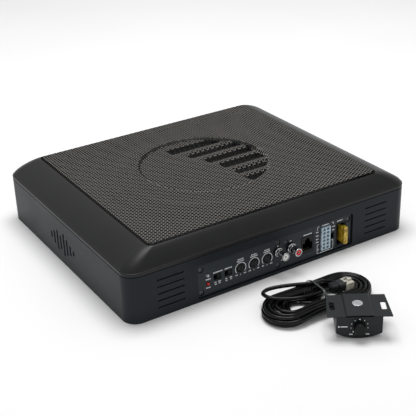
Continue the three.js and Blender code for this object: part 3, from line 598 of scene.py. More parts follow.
LEAD_START = [
    (8.9, -239.9, 9), (11.6, -235.9, 8.2), (15.6, -232.2, 6.6), (20.2, -229.6, 5),
]
LEAD_END = [
    (14, -191, 13.4), (5.5, -188.6, 13.4), (-3, -185, 13.4), (-12, -180.6, 13.4), (-21, -175.8, 12.8),
    (-30, -171.6, 12), (-37.5, -169.8, 11.4), (-43.4, -171.8, 11.4), (-46.8, -176.8, 13),
    (-46.6, -183, 13.5), (-42.8, -189, 13.5), (-36.5, -194.2, 13.5), (-29, -198.6, 13.5),
    (-20, -202, 13.5), (-11, -203.8, 13.5), (-2, -204.2, 13.2), (4.5, -203.8, 12.7), (9.3, -203.4, 12.5),
]
TURNS_PER_LAYER, LAYERS, POINTS_PER_TURN = 4, 3, 30
OUTER_TURN, TURN_STEP = 22.2, 3.6
LAYER_START, LAYER_STEP = 2.4, 3.6
FIRST_TURN, LAST_TURN = -0.012, 11.19
BOW, BOW_CENTRE, BOW_REACH = (9.8, 8.4, 2.2), -4.0, 37.0
SHORTER_RIGHT, SHORTER_LEFT = (16.0, 9.0, 2.0), (17.0, 17.0, 7.0)
SPREAD_LEFT = (2.5, 0.0, 1.5)


def hank_to_world(u, v, z):
    c, s = math.cos(HANK_TURN), math.sin(HANK_TURN)
    return Vector((HANK_PLACE[0] + c * u - s * v, HANK_PLACE[1] + s * u + c * v, z))


def stadium_point(share, radius):
    """A point a share of the way round, from the start of the right-hand bend."""
    bend, straight = math.pi * radius, 2 * HANK_HALF
    d = (share % 1.0) * (2 * bend + 2 * straight)
    if d < bend:
        a = d / radius - math.pi / 2
        return HANK_HALF + radius * math.cos(a), radius * math.sin(a)
    if d < bend + straight:
        return HANK_HALF - (d - bend), radius
    if d < 2 * bend + straight:
        a = (d - bend - straight) / radius + math.pi / 2
        return -HANK_HALF + radius * math.cos(a), radius * math.sin(a)
    return -HANK_HALF + (d - 2 * bend - straight), -radius


def smooth_step(value, low, high):
    t = min(max((value - low) / (high - low), 0.0), 1.0)
    return t * t * (3 - 2 * t)


def hank_points():
    """Turns wound inwards on one layer and outwards on the next, gathered inwards half way along."""
    chance = random.Random(7)
    waves = [(chance.uniform(0, 6.28), chance.uniform(0, 6.28), chance.uniform(0.3, 1.0)) for _ in range(16)]
    points = []
    count = int((LAST_TURN - FIRST_TURN) * POINTS_PER_TURN)
    for k in range(count + 1):
        turn = FIRST_TURN + (LAST_TURN - FIRST_TURN) * k / count
        layer = min(max(int(turn // TURNS_PER_LAYER), 0), LAYERS - 1)
        within = turn - layer * TURNS_PER_LAYER
        step = min(within, TURNS_PER_LAYER - 1)
        inward = step if layer % 2 == 0 else TURNS_PER_LAYER - 1 - step
        climb = smooth_step(within, TURNS_PER_LAYER - 0.35, TURNS_PER_LAYER) if layer < LAYERS - 1 else 0.0
        upper = min(layer + 1, LAYERS - 1)

        def blend(amounts):
            return amounts[layer] + (amounts[upper] - amounts[layer]) * climb

        share = inward / (TURNS_PER_LAYER - 1)
        radius = OUTER_TURN - TURN_STEP * inward
        z = LAYER_START + LAYER_STEP * (layer + climb)
        u, v = stadium_point(turn, radius)
        bow = math.cos(math.pi * min(abs(u - BOW_CENTRE) / BOW_REACH, 1) / 2) ** 2
        bow = bow * (0.35 + 0.65 * share) * blend(BOW)
        a, b, size = waves[min(int(turn), 15)]
        v += size * math.sin(2 * math.pi * (turn % 1.0)) * math.sin(6 * turn + a) - bow * v / radius
        z += 0.3 * size * math.sin(9 * turn + b) if layer else 0.0
        u += 0.7 * size * math.sin(5 * turn + b)
        u -= smooth_step(u, 0, HANK_HALF) * share ** 2 * blend(SHORTER_RIGHT)
        u += smooth_step(-u, 0, HANK_HALF) * (share ** 2 * blend(SHORTER_LEFT) - blend(SPREAD_LEFT))
        points.append(hank_to_world(u, v, z))
    return points


def smooth_line(points, spacing):
    """Points at even spacing on a smooth curve through the given ones."""
    points = [Vector(p) for p in points]
    fine = []
    for i in range(len(points) - 1):
        a = points[i - 1] if i else 2 * points[0] - points[1]
        b, c = points[i], points[i + 1]
        d = points[i + 2] if i + 2 < len(points) else 2 * c - b
        for k in range(8):
            t = k / 8
            fine.append(0.5 * (2 * b + (c - a) * t + (2 * a - 5 * b + 4 * c - d) * t * t
                               + (3 * b - a - 3 * c + d) * t ** 3))
    fine.append(points[-1])
    for _ in range(3):
        eased = [(a + 2 * b + c) / 4 for a, b, c in zip(fine, fine[1:], fine[2:])]
        fine = [fine[0], *eased, fine[-1]]
    reach = [0.0]
    for a, b in zip(fine, fine[1:]):
        reach.append(reach[-1] + (b - a).length)
    count = max(2, round(reach[-1] / spacing))
    result, j = [], 0
    for k in range(count + 1):
        target = reach[-1] * k / count
        while j < len(reach) - 2 and reach[j + 1] < target:
            j += 1
        share = (target - reach[j]) / max(reach[j + 1] - reach[j], 1e-9)
        result.append(fine[j].lerp(fine[j + 1], min(max(share, 0), 1)))
    return result


def swept(line, section):
    """A capped tube: section points (side, up) carried along a line without twisting."""
    rings, side, last = [], None, len(line) - 1
    for i, here in enumerate(line):
        ahead = (line[min(i + 1, last)] - line[max(i - 1, 0)]).normalized()
        if side is None:
            side = ahead.cross(Vector((0, 0, 1))).normalized()
        side = (side - side.dot(ahead) * ahead).normalized()
        up = side.cross(ahead)
        rings.append([here + side * a + up * b for a, b in section])
    return skin(rings, closed_rings=False)


LEAD_SIDES, LEAD_SPACING = 12, 3.2
lead_line = smooth_line(LEAD_START + hank_points() + LEAD_END, LEAD_SPACING)
lead_length = sum((b - a).length for a, b in zip(lead_line, lead_line[1:]))
lead_section = disc(0, 0, LEAD_DIAMETER / 2, LEAD_SIDES)
lead = swept(lead_line, lead_section)
along = lead.data.attributes.new("along", "FLOAT", "POINT")
around = lead.data.attributes.new("around", "FLOAT", "POINT")
for index in range(len(lead.data.vertices)):
    along.data[index].value = lead_length * (index // LEAD_SIDES) / (len(lead_line) - 1)
    around.data[index].value = (index % LEAD_SIDES) / LEAD_SIDES
piece(lead, "lead", "lead", "level_control", replaces=("lead_start", "lead_end", "lead_hank"))

# ---------------- enclosure: tub


def motif_cutters():
    """A plain level-meter motif, pressed into the left wall where such units carry a badge."""
    heights = (7.0, 14.0, 22.0, 15.0, 25.0, 18.0, 11.0, 5.0)
    pitch, width, depth = 7.4, 3.4, 0.9
    cutters = []
    for i, height in enumerate(heights):
        y = 28.5 - i * pitch
        z = 23.5
        outline = rounded(y - width / 2, y + width / 2, z - height / 2, z + height / 2, 1.2, 4)
        cutters.append(prism(outline, -WIDTH / 2 - 1, -WIDTH / 2 + depth, "X"))
    return cutters


def vent_cutters():
    cutters = []
    for centre in VENT_CENTRES:
        for i in range(VENT_COUNT):
            z = VENT_TOP - i * VENT_PITCH
            louvre = [(FRONT - 1, z + 1.0), (FRONT - 1, z), (FRONT + WALL + 1, z - 2.5),
                      (FRONT + WALL + 1, z - 1.5)]
            cutters.append(prism(louvre, centre - VENT_LENGTH / 2, centre + VENT_LENGTH / 2, "X"))
    return cutters


def footprint(inset, steps):
    """The enclosure's outline seen from above, drawn in by the inset."""
    half_x, half_y = WIDTH / 2, DEPTH / 2
    return rounded(-half_x + inset, half_x - inset, -half_y + inset, half_y - inset, CORNER - inset, steps)


ROOT, RAIL_TOP, RAIL_DEPTH = WALL - 0.5, 43, 7


def base_tub():
    shell = without(prism(footprint(0, 14), 0, TUB_TOP), prism(footprint(WALL, 10), WALL, TUB_TOP + 1))
    aperture = prism(rounded(PANEL[0] - 0.6, PANEL[1] + 0.6, PANEL[2] - 0.6, PANEL[3] + 0.6, 2.8, 6),
                     FRONT - 1, FRONT + WALL + 1, "Y")
    without(shell, aperture)
    boss, back = PANEL_BACK + GAP, PANEL_BACK + GAP + RAIL_DEPTH
    rails = []
    for side in (-1, 1):
        near, far, edge = sorted((side * 84.8, side * 96.4)), side * 96.4, side * (PANEL[1] + 0.8)
        rails.append(box(near, (boss, back), (ROOT, RAIL_TOP)))
        rails.append(box(sorted((edge, far)), (FRONT + WALL - 1, back), (ROOT, RAIL_TOP)))
    middle = ((boss, (29.5, RAIL_TOP)), (FRONT + WALL - 1, (39, RAIL_TOP)), (boss, (ROOT, 11.5)))
    rails += [box((-4, 4.4), (start, back), heights) for start, heights in middle]
    posts = [rod(x, y, 5, ROOT, TUB_TOP, sides=24) for x, y in COVER_SCREWS]
    posts += [rod(x, y, 3, ROOT, 5.7, sides=16) for x in (-88, 88) for y in (-108, -62)]
    joined(shell, rails, posts)
    wells = [rod(x, y, 3.7, -1, 9, sides=24) for x, y in COVER_SCREWS]
    bores = [rod(x, y, 1.8, -1, TUB_TOP + 1, sides=16) for x, y in COVER_SCREWS]
    pilots = [rod(x, z, 1.6, boss - 1, boss + 6, "Y", 12) for x, z in PANEL_SCREWS]
    without(shell, wells, bores, pilots, vent_cutters(), motif_cutters())
    return faceted(shell)


piece(base_tub(), "tub", "tub", bevel=0.3, replaces=("base_tub",))

# ---------------- enclosure: top cover


def cover_ring(share, offset, z, steps=14):
    side = share * BEZEL_SIDE + offset
    front = share * BEZEL_FRONT + offset
    back = share * BEZEL_BACK + offset
    radius = max(CORNER + share * (OPENING_RADIUS - CORNER) - offset / 2, 2.5)
    half_x, half_y = WIDTH / 2, DEPTH / 2
    outline = rounded(-half_x + side, half_x - side, -half_y + front, half_y - back, radius, steps)
    return [(x, y, z) for x, y in outline]


def top_cover():
    steps, start = 20, CREASE_Z + 0.3
    bezel = []
    for i in range(steps + 1):
        angle = i / steps * math.pi / 2
        share = 1 - max(math.cos(angle), 0.0) ** (2 / BEZEL_POWER)
        rise = math.sin(angle) ** (2 / BEZEL_POWER)
        bezel.append(cover_ring(share, 0.7 * (1 - share), start + rise * (RIM_Z - start)))
    shell = skin([
        cover_ring(0, 0.35, COVER_BOTTOM), cover_ring(0, 0.1, COVER_BOTTOM + 0.12),
        cover_ring(0, 0, COVER_BOTTOM + 0.4),
        cover_ring(0, 0, CREASE_Z - 0.5), cover_ring(0, 0.06, CREASE_Z - 0.15),
        cover_ring(0, 0.3, CREASE_Z + 0.1),
        *bezel[:-1],
        cover_ring(1, -0.5, RIM_Z - 0.02), cover_ring(1, -0.15, RIM_Z - 0.15), cover_ring(1, 0, RIM_Z - 0.5),
        cover_ring(1, 0.02, LEDGE_Z), cover_ring(1, 4, LEDGE_Z), cover_ring(1, 4, LEDGE_Z - 2.2),
        cover_ring(1, -1, LEDGE_Z - 2.2), cover_ring(0, 6, DECK[1]), cover_ring(0, 3, DECK[0] + 0.4),
        cover_ring(0, 3, COVER_BOTTOM),
    ])
    deck = prism(footprint(2.5, 10), *DECK)
    without(deck, rod(0, WOOFER_Y, 92, DECK[0] - 1, DECK[1] + 1, sides=96))
    bosses = [rod(x, y, 5, COVER_BOTTOM, 57, sides=24) for x, y in COVER_SCREWS]
    pilots = [rod(x, y, 1.7, COVER_BOTTOM - 1, 55.5, sides=16) for x, y in COVER_SCREWS]
    return without(joined(shell, deck, bosses), pilots)


piece(top_cover(), "cover", "cover", replaces=("top_cover",))

# ---------------- enclosure: perforated grille

HOLE_PITCH, HOLE_RADIUS, SHEET, RIM_DROP = 3.65, 1.34, 0.5, 0.25
ROLL, SHEET_GAP = 1.8, 0.6
SHEET_RIGHT = WIDTH / 2 - BEZEL_SIDE - SHEET_GAP
SHEET_NEAR, SHEET_FAR = -DEPTH / 2 + BEZEL_FRONT + SHEET_GAP, DEPTH / 2 - BEZEL_BACK - SHEET_GAP


def louvre_left(index):
    return 21 - 34 * (1 - index / (LOUVRES - 1)) ** 2


def pressed(x, y):
    """How far the sheet is pressed down at x, y: a shallow disc with ramped louvres."""
    dx, dy = x - RELIEF_X, y - RELIEF_Y
    r = math.hypot(dx, dy)
    if r > RELIEF_RADIUS + 1:
        return 0.0
    depth = RELIEF_DEPTH * (1 - smooth_step(r, RELIEF_RADIUS - 3.2, RELIEF_RADIUS + 0.6))
    for i in range(LOUVRES):
        top = LOUVRE_TOP - i * LOUVRE_PITCH
        bottom = top - LOUVRE_PITCH + 3.5
        if bottom < y < top + 2.5:
            ramp = (min(y, top) - bottom) / (top - bottom)
            ends = smooth_step(x, louvre_left(i) - 0.8, louvre_left(i) + 1.6)
            ends *= 1 - smooth_step(r, RELIEF_RADIUS - 3.6, RELIEF_RADIUS - 1.4)
            back = 1 - smooth_step(y, top - 2.5, top + 2.5)
            depth += LOUVRE_DEPTH * ramp * ends * back
    return depth


def sheet_point(x, y, depth):
    """A point of the sheet: flat and pressed in the middle, rolled down all round its edge."""
    low_x, high_x = -SHEET_RIGHT + ROLL, SHEET_RIGHT - ROLL
    low_y, high_y = SHEET_NEAR + ROLL, SHEET_FAR - ROLL
    radius = OPENING_RADIUS - SHEET_GAP - ROLL
    cx = min(max(x, low_x + radius), high_x - radius)
    cy = min(max(y, low_y + radius), high_y - radius)
    ox, oy = x - cx, y - cy
    out = math.hypot(ox, oy)
    over = out - radius
    if over <= 0 or out < 1e-9:
        return (x, y, GRILLE_TOP - pressed(x, y) - depth)
    nx, ny = ox / out, oy / out
    bx, by = cx + nx * radius, cy + ny * radius
    angle = min(over / ROLL, math.pi / 2)
    drop = max(0.0, over - ROLL * math.pi / 2)
    reach = (ROLL - depth) * math.sin(angle)
    height = GRILLE_TOP - ROLL + (ROLL - depth) * math.cos(angle) - drop
    return (bx + nx * reach, by + ny * reach, height)


FLAT_TOLERANCE, LOUVRE_SHADE = 0.15, 1.7
FAR_RING, NEAR_RING = (-2.6, 0.0), (-2.2, 0.6)
# Painted light levels: painted shade in the louvres and at the rolled edge, darker painted shade on the
# disc's far slope, painted highlight on its near slope and on the flat web.
PAINTED_SHADE, FAR_RING_PAINTED_SHADE, NEAR_RING_PAINTED_HIGHLIGHT, FLAT_PAINTED_HIGHLIGHT = 0.0, 0.45, 1.0, 0.8


def painted_light_at(x, y, z):
    """How much painted highlight a raised point gets: painted shade in the louvres and at the sheet's rolled
    edge, painted shade on the disc's far slope, and painted highlight on its near slope and on the flat web.
    """
    deep = GRILLE_TOP - z
    ring = math.hypot(x - RELIEF_X, y - RELIEF_Y) - RELIEF_RADIUS
    in_louvre_shade = z < GRILLE_TOP - RELIEF_DEPTH - LOUVRE_SHADE
    rolled_edge_shade = deep > FLAT_TOLERANCE and ring > 1
    if in_louvre_shade or rolled_edge_shade:
        return PAINTED_SHADE
    if y > RELIEF_Y and FAR_RING[0] < ring < FAR_RING[1]:
        return FAR_RING_PAINTED_SHADE
    if y < RELIEF_Y and NEAR_RING[0] < ring < NEAR_RING[1]:
        return NEAR_RING_PAINTED_HIGHLIGHT
    return FLAT_PAINTED_HIGHLIGHT


def perforated_sheet():
    corner = HOLE_PITCH / math.sqrt(3)
    column = HOLE_PITCH * math.sqrt(3) / 2
    hex_angles = [math.radians(60 * k) for k in range(6)]
    hole_angles = [math.radians(22.5 + 45 * k) for k in range(8)]
    right, near, far = SHEET_RIGHT, SHEET_NEAR, SHEET_FAR
    skirt = ROLL * math.pi / 2 + (GRILLE_TOP - ROLL - LEDGE_Z - 0.3) - ROLL
    points, faces, shared = [], [], {}

    def corner_index(x, y):
        key = (round(x * 50), round(y * 50))
        if key not in shared:
            shared[key] = len(points)
            points.append(sheet_point(x, y, 0.0))
        return shared[key]

    ring = sorted([(a, "hex", k) for k, a in enumerate(hex_angles)]
                  + [(a, "hole", k) for k, a in enumerate(hole_angles)])
    columns = int((right + skirt) / column) + 1
    for i in range(-columns, columns + 1):
        x = i * column
        rows = int((far - near + 2 * skirt) / HOLE_PITCH) + 3
        for j in range(-1, rows):
            y = near - skirt + j * HOLE_PITCH + (HOLE_PITCH / 2 if i % 2 else 0.0)
            beyond_x = max(abs(x) - right, 0.0)
            beyond_y = max(near - y, y - far, 0.0)
            if math.hypot(beyond_x, beyond_y) > skirt - 0.6 * HOLE_PITCH:
                continue
            outer = [corner_index(x + corner * math.cos(a), y + corner * math.sin(a)) for a in hex_angles]
            hole = [(x + HOLE_RADIUS * math.cos(a), y + HOLE_RADIUS * math.sin(a)) for a in hole_angles]
            top = len(points)
            for depth in (RIM_DROP, SHEET):
                points += [sheet_point(*place, depth) for place in hole]
            here_hex, here_hole = 5, 7
            for _, kind, k in ring:
                if kind == "hex":
                    faces.append((outer[here_hex], outer[k], top + here_hole))
                    here_hex = k
                else:
                    faces.append((outer[here_hex], top + k, top + here_hole))
                    here_hole = k
            for k in range(8):
                n = (k + 1) % 8
                faces.append((top + k, top + n, top + 8 + n, top + 8 + k))
    mesh = bpy.data.meshes.new("sheet")
    mesh.from_pydata(points, [], faces)
    mesh.validate()
    reworked(mesh, face_outwards)
    # Per-point painted light: 0 is painted shade, 1 a painted highlight; the hole rims stay at 0.
    painted_light_level = mesh.attributes.new("painted_light_level", "FLOAT", "POINT")
    for index in shared.values():
        painted_light_level.data[index].value = painted_light_at(*mesh.vertices[index].co)
    return linked("sheet", mesh)


SHEET_SHARP_ANGLE = 50


def finished_sheet():
    sheet = perforated_sheet()
    creased(sheet.data, SHEET_SHARP_ANGLE)
    sheet.data.transform(Matrix.Scale(MM, 4))
    sheet.name = "grille_sheet"
    sheet.data.materials.append(MATERIAL["grille"])
    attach(sheet, "enclosure")
    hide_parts("speaker_grille")


finished_sheet()

# ---------------- control panel


def window(x, z, width, height, low, high):
    return box((x - width / 2 - GAP, x + width / 2 + GAP), (low, high),
               (z - height / 2 - GAP, z + height / 2 + GAP))


def control_panel():
    plate = prism(rounded(*PANEL, 2.4, 6), PANEL_FACE, PANEL_BACK, "Y")
    through = (PANEL_FACE - 1, PANEL_BACK + 1)
    screws = [*PANEL_SCREWS, RCA_SCREW]
    without(plate, [rod(x, z, 3, PANEL_FACE - 1, PANEL_FACE + 1.6, "Y") for x, z in screws])
    left, right, bottom, top = FUSE_HOLDER
    openings = [rod(x, z, 1.7, *through, "Y", 20) for x, z in screws]
    openings += [rod(INDICATOR_X, z, 1.9, *through, "Y", 24) for z in INDICATORS.values()]
    openings += [box((x - 4.2, x + 4.2), through, (SWITCH_Z - 2.9, SWITCH_Z + 2.9)) for x in SWITCH_X]
    openings += [rod(x, TRIMMER_Z, 4.5, *through, "Y", 40) for x in TRIMMER_X]
    openings += [rod(x, RCA_Z, 5.2, *through, "Y", 40) for x in RCA_JACKS.values()]
    openings += [window(*REMOTE, *through), window(*POWER, *through)]
    openings += [box((64.4, 69.8), through, (16.8, 23.4)),
                 box((left - GAP, right + GAP), through, (bottom - GAP, top + GAP))]
    without(plate, openings)
    return faceted(plate)


piece(control_panel(), "panel", "panel", bevel=0.18, replaces=("control_panel",))


def merged(shapes):
    """Separate closed shapes in one mesh."""
    work = bmesh.new()
    for shape in shapes:
        work.from_mesh(shape.data)
        discard(shape)
    mesh = bpy.data.meshes.new("merged")
    work.to_mesh(mesh)
    work.free()
    return linked("merged", mesh)


PRINT, RULE, DASH_GAP = (PANEL_FACE - 0.05, PANEL_FACE + 0.02), 0.4, 0.38


def dashes(x, z, width, height, chance):
    """A row of short plain dashes, centred on x and z, where a caption would be."""
    shapes, at = [], x - width / 2
    while at < x + width / 2 - 0.4:
        run = min(chance.uniform(0.7, 1.3), x + width / 2 - at)
        outline = rounded(at, at + run, z - height / 2, z + height / 2, height * 0.3, 2)
        shapes.append(prism(outline, *PRINT, "Y"))
        at += run + DASH_GAP
    return shapes


def band(points, thick):
    """A printed line through points, of the given thickness."""
    shapes = []
    for (x0, z0), (x1, z1) in zip(points, points[1:]):
        lo_x, hi_x = min(x0, x1) - thick / 2, max(x0, x1) + thick / 2
        lo_z, hi_z = min(z0, z1) - thick / 2, max(z0, z1) + thick / 2
        shapes.append(prism(rounded(lo_x, hi_x, lo_z, hi_z, thick * 0.3, 2), *PRINT, "Y"))
    return shapes


def printed_arc(x, z, radius, thick, start, end, steps=36):
    outer = arc(x, z, radius + thick / 2, start, end, steps)
    inner = arc(x, z, radius - thick / 2, end, start, steps)
    return prism(outer + inner, *PRINT, "Y")


def panel_print():
    chance = random.Random(11)
    shapes = []
    for x, z, width in ((-69.1, 24.9, 10.5), (-57.2, 24.9, 8.2), (-79.9, 20.3, 5.2), (-79.9, 11.3, 5.2),
                        (36.4, 31.2, 10.3), (76.7, 34.3, 6.6), (9.0, 12.8, 9.5)):
        shapes += dashes(x, z, width, 1.15, chance)
    for x, z in ((-71.8, 14.2), (-67.4, 14.2), (-59.7, 14.2), (-54.6, 14.2)):
        shapes += dashes(x, z, 2.6, 1.3, chance) + dashes(x, z - 2.0, 2.2, 0.9, chance)
    for x in TRIMMER_X:
        shapes += dashes(x, 29.9, 6.4, 1.1, chance) + dashes(x, 27.9, 8.2, 1.1, chance)
        shapes.append(printed_arc(x, TRIMMER_Z, 6.0, 0.55, -42, 222))
        shapes += dashes(x - 4.9, 13.6, 2.4, 1.1, chance) + dashes(x + 4.9, 13.6, 2.8, 1.1, chance)
        shapes += dashes(x, 13.2, 1.3, 0.9, chance)
    shapes += dashes(15.5, 30.6, 1.8, 1.2, chance) + dashes(0.2, 29.7, 1.4, 1.1, chance)
    for corner in ([(50.6, 35.2), (48.6, 35.2), (48.6, 31.5)], [(66.6, 35.2), (68.6, 35.2), (68.6, 33.0)]):
        shapes += band(corner, RULE)
    shapes += dashes(58.6, 35.0, 9.0, 1.1, chance)
    for z in (29.6, 25.4, 21.6, 18.4):
        shapes += dashes(48.6, z, 3.2, 1.0, chance)
    for z in (30.2, 26.4):
        shapes += dashes(69.0, z, 3.4, 1.0, chance)
    shapes += band([(50.6, 15.3), (48.6, 15.3), (48.6, 5.2), (51.6, 5.2)], RULE)
    shapes += band([(66.6, 15.3), (68.6, 15.3), (68.6, 5.2), (65.8, 5.2)], RULE)
    for place in ((58.7, 5.3, 12.0, 1.1), (49.9, 9.5, 1.0, 2.4), (67.3, 9.5, 1.0, 2.4)):
        shapes += dashes(*place, chance)
    return merged(shapes)


piece(panel_print(), "panel_print", "print")


def turned_slot(x, z, half_length, half_width, turn):
    """The outline of a slot about x and z, turned from the x direction."""
    c, s = math.cos(turn), math.sin(turn)
    corners = [(-half_length, -half_width), (half_length, -half_width), (half_length, half_width),
               (-half_length, half_width)]
    return [(x + c * a - s * b, z + s * a + c * b) for a, b in corners]


def cross_screw(x, z, shank_end, turn):
    seat, face = PANEL_FACE + 1.3, PANEL_FACE + 0.1
    body = turned([(0, face), (1.6, face + 0.12), (2.2, face + 0.45), (2.45, face + 0.8), (2.4, seat),
                   (1.25, seat), (1.25, shank_end), (0, shank_end)], x, z, "Y", 40, 0.12)
    cuts = [prism(turned_slot(x, z, 1.35, 0.3, turn + quarter * math.pi / 2), face - 1, face + 0.75, "Y")
            for quarter in (0, 1)]
    return without(body, *cuts)


for number, (sx, sz) in enumerate(PANEL_SCREWS, 1):
    piece(cross_screw(sx, sz, PANEL_BACK + 5.5, 0.7 * number), f"screw_{number}", "screw",
          replaces=(f"panel_screw_{number}",))
piece(cross_screw(*RCA_SCREW, PANEL_BACK, 0.3), "screw_jack", "screw", replaces=("rca_screw",))

# ---------------- panel controls

for colour, lens_z in INDICATORS.items():
    lens_back, lens_face = PANEL_BACK + 2, PANEL_FACE - 0.4
    lens = [(0, lens_back), (1.55, lens_back), (1.55, lens_face)]
    lens += [(1.55 * math.cos(a * math.pi / 16), lens_face - 1.3 * math.sin(a * math.pi / 16))
             for a in range(1, 8)]
    lens += [(0, lens_face - 1.3)]
    piece(turned(lens, INDICATOR_X, lens_z, "Y", 32, 0), f"lens_{colour}", f"lens_{colour}",
          replaces=(f"indicator_{colour}",))

for number, sx in enumerate(SWITCH_X, 1):
    front = PANEL_BACK + GAP
    frame_box = box((sx - 5, sx + 5), (front, front + 7), (SWITCH_Z - 3.6, SWITCH_Z + 3.6))
    without(frame_box, box((sx - 3.9, sx + 3.9), (front - 1, front + 2.5), (SWITCH_Z - 2.2, SWITCH_Z + 2.2)))
    piece(frame_box, f"switch_frame_{number}", "black", bevel=0.25, replaces=(f"switch_body_{number}",))
    centre = sx + SWITCH_TRAVEL / 2
    block = box((centre - 1.7, centre + 1.7), (PANEL_FACE + 0.5, front + 2.2),
                (SWITCH_Z - 1.9, SWITCH_Z + 1.9))
    without(block, [box((centre + s - 0.22, centre + s + 0.22), (PANEL_FACE, PANEL_FACE + 0.95),
                        (SWITCH_Z - 3, SWITCH_Z + 3)) for s in (-1.0, 0, 1.0)])
    side = ("left", "right")[number - 1]
    piece(block, f"switch_knob_{number}", "slider", f"switch_slider_{side}", bevel=0.12,
          replaces=(f"switch_slider_{number}",))

TRIMMER_SLOT_TURN = math.radians(60)
for number, (tx, side) in enumerate(zip(TRIMMER_X, ("left", "middle", "right")), 1):
    front = PANEL_BACK + GAP
    holder = box((tx - 5, tx + 5), (front, front + 7.5), (TRIMMER_Z - 5, TRIMMER_Z + 5))
    without(holder, rod(tx, TRIMMER_Z, 4.1, front - 1, front + 2.4, "Y", 40),
            rod(tx, TRIMMER_Z, 1.5, front - 1, front + 6.5, "Y", 20))
    piece(holder, f"trimmer_frame_{number}", "black", bevel=0.25, replaces=(f"trimmer_body_{number}",))
    face, back = PANEL_FACE - 0.4, PANEL_BACK + GAP + 2.1
    knob = turned([(0, face), (3.0, face), (3.0, face + 0.35), (3.25, face + 0.35), (3.25, face),
                   (3.7, face + 0.3), (3.7, back), (1.2, back), (1.2, back + 3.6), (0, back + 3.6)],
                  tx, TRIMMER_Z, "Y", 48, 0.12)
    without(knob, prism(turned_slot(tx, TRIMMER_Z, 2.7, 0.45, TRIMMER_SLOT_TURN), face - 1, face + 1.2, "Y"))
    piece(knob, f"trimmer_dial_{number}", "slider", f"trimmer_{side}", replaces=(f"trimmer_knob_{number}",))

# ---------------- sockets and fuse

COLLAR_Y = PANEL_FACE - 1


def phono_block():
    back = PANEL_BACK + GAP
    xs = list(RCA_JACKS.values())
    base = box((xs[0] - 6, xs[1] + 6), (back, back + 11), (RCA_Z - 6.5, RCA_Z + 4.2))
    joined(base, [rod(x, RCA_Z, 4.8, COLLAR_Y, back + 1, "Y", 48) for x in xs])
    return without(base, [rod(x, RCA_Z, 3.3, COLLAR_Y - 1, back + 3, "Y", 40) for x in xs])


piece(phono_block(), "phono_block", "black", bevel=0.3, replaces=("rca_block",))

for colour, jx in RCA_JACKS.items():
    back, face = COLLAR_Y - GAP, PANEL_FACE - RCA_LENGTH
    shell = turned([(3.15, back), (4.75, back), (4.75, back - 1), (4.15, back - 1.25), (4.15, back - 3.6),
                    (3.95, back - 3.9), (3.95, back - 4.3), (4.15, back - 4.6), (4.15, face + 0.35),
                    (3.9, face), (3.15, face), (3.15, back)], jx, RCA_Z, "Y", 64, 0.12)
    piece(shell, f"phono_shell_{colour}", "chrome", replaces=(f"rca_shell_{colour}",))
    front = face + 0.3
    insert = turned([(1.2, front + 0.3), (1.4, front), (2.85, front), (3.0, front + 0.2),
                     (3.0, PANEL_BACK + 2), (0, PANEL_BACK + 2), (0, front + 8), (1.2, front + 8),
                     (1.2, front + 0.3)],
                    jx, RCA_Z, "Y", 48, 0.1)
    piece(insert, f"phono_insert_{colour}", f"jack_{colour}", replaces=(f"rca_insert_{colour}",))
    contact = turned([(0.6, front + 7.9), (1.15, front + 7.9), (1.15, front + 0.5), (0.95, front + 0.2),
                      (0.6, front + 0.5), (0.6, front + 7.9)], jx, RCA_Z, "Y", 24, 0.05)
    piece(contact, f"phono_contact_{colour}", "chrome")


def remote_jack():
    x, z, width, height = REMOTE
    front, base = PANEL_FACE - 0.2, z - 6
    body = box((x - width / 2, x + width / 2), (front, front + 18), (z - height / 2, z + height / 2))
    inside = (front - 1, front + 13)
    return without(body, [box((x - 5.95, x + 5.95), inside, (base, base + 8))],
                   [box((x - 3.1, x + 3.1), inside, (base + 7, base + 11))],
                   [box((x - 1.7, x + 1.7), inside, (base + 10, base + 12.8))])


piece(remote_jack(), "remote_jack", "black", bevel=0.22, replaces=("remote_socket",))


WAYS = [k - 3.5 for k in range(8)]
JACK_PITCH = 1.16


def jack_contacts():
    x, z = REMOTE[0], REMOTE[1]
    base = z - 6
    shapes = []
    for way in WAYS:
        cx = x + way * JACK_PITCH
        line = [Vector((cx, PANEL_FACE + 1.6, base + 0.25)), Vector((cx, PANEL_FACE + 5.0, base + 2.2)),
                Vector((cx, PANEL_FACE + 10.5, base + 3.6))]
        shapes.append(swept(line, [(-0.2, -0.12), (0.2, -0.12), (0.2, 0.12), (-0.2, 0.12)]))
    return merged(shapes)


piece(jack_contacts(), "jack_contacts", "gold")


def power_connector():
    x, z, width, height = POWER
    front = PANEL_FACE - 1.5
    body = box((x - width / 2, x + width / 2), (front, front + 18), (z - height / 2, z + height / 2))
    holes, pins = [], []
    for row in range(6):
        for column in (-1, 1):
            cx, cz = x + column * 2.35, z + (row - 2.5) * 4.1
            square = [(cx - 1.5, cz - 1.4), (cx + 1.5, cz - 1.4), (cx + 1.5, cz + 1.4), (cx - 1.5, cz + 1.4)]
            if (row + (column > 0)) % 2:
                square[2:] = [(cx + 1.5, cz + 0.7), (cx + 0.8, cz + 1.4),
                              (cx - 0.8, cz + 1.4), (cx - 1.5, cz + 0.7)]
            holes.append(prism(square, front - 1, front + 7, "Y"))
            pins.append(prism(rounded(cx - 0.55, cx + 0.55, cz - 0.55, cz + 0.55, 0.15, 2),
                              front + 1.6, front + 7.2, "Y"))
    side = x - width / 2
    notches = [box((side - 1, side + 0.5), (front - 1, front + 5), (z + s - 1.2, z + s + 1.2))
               for s in (-8, 8)]
    without(body, holes, notches)
    return body, merged(pins)


connector, connector_pins = power_connector()
piece(connector, "power_connector", "connector", bevel=0.18, replaces=("power_socket",))
piece(connector_pins, "power_pins", "steel")


FUSE_SEAT, BLADE = PANEL_FACE + 5.5, 6.6


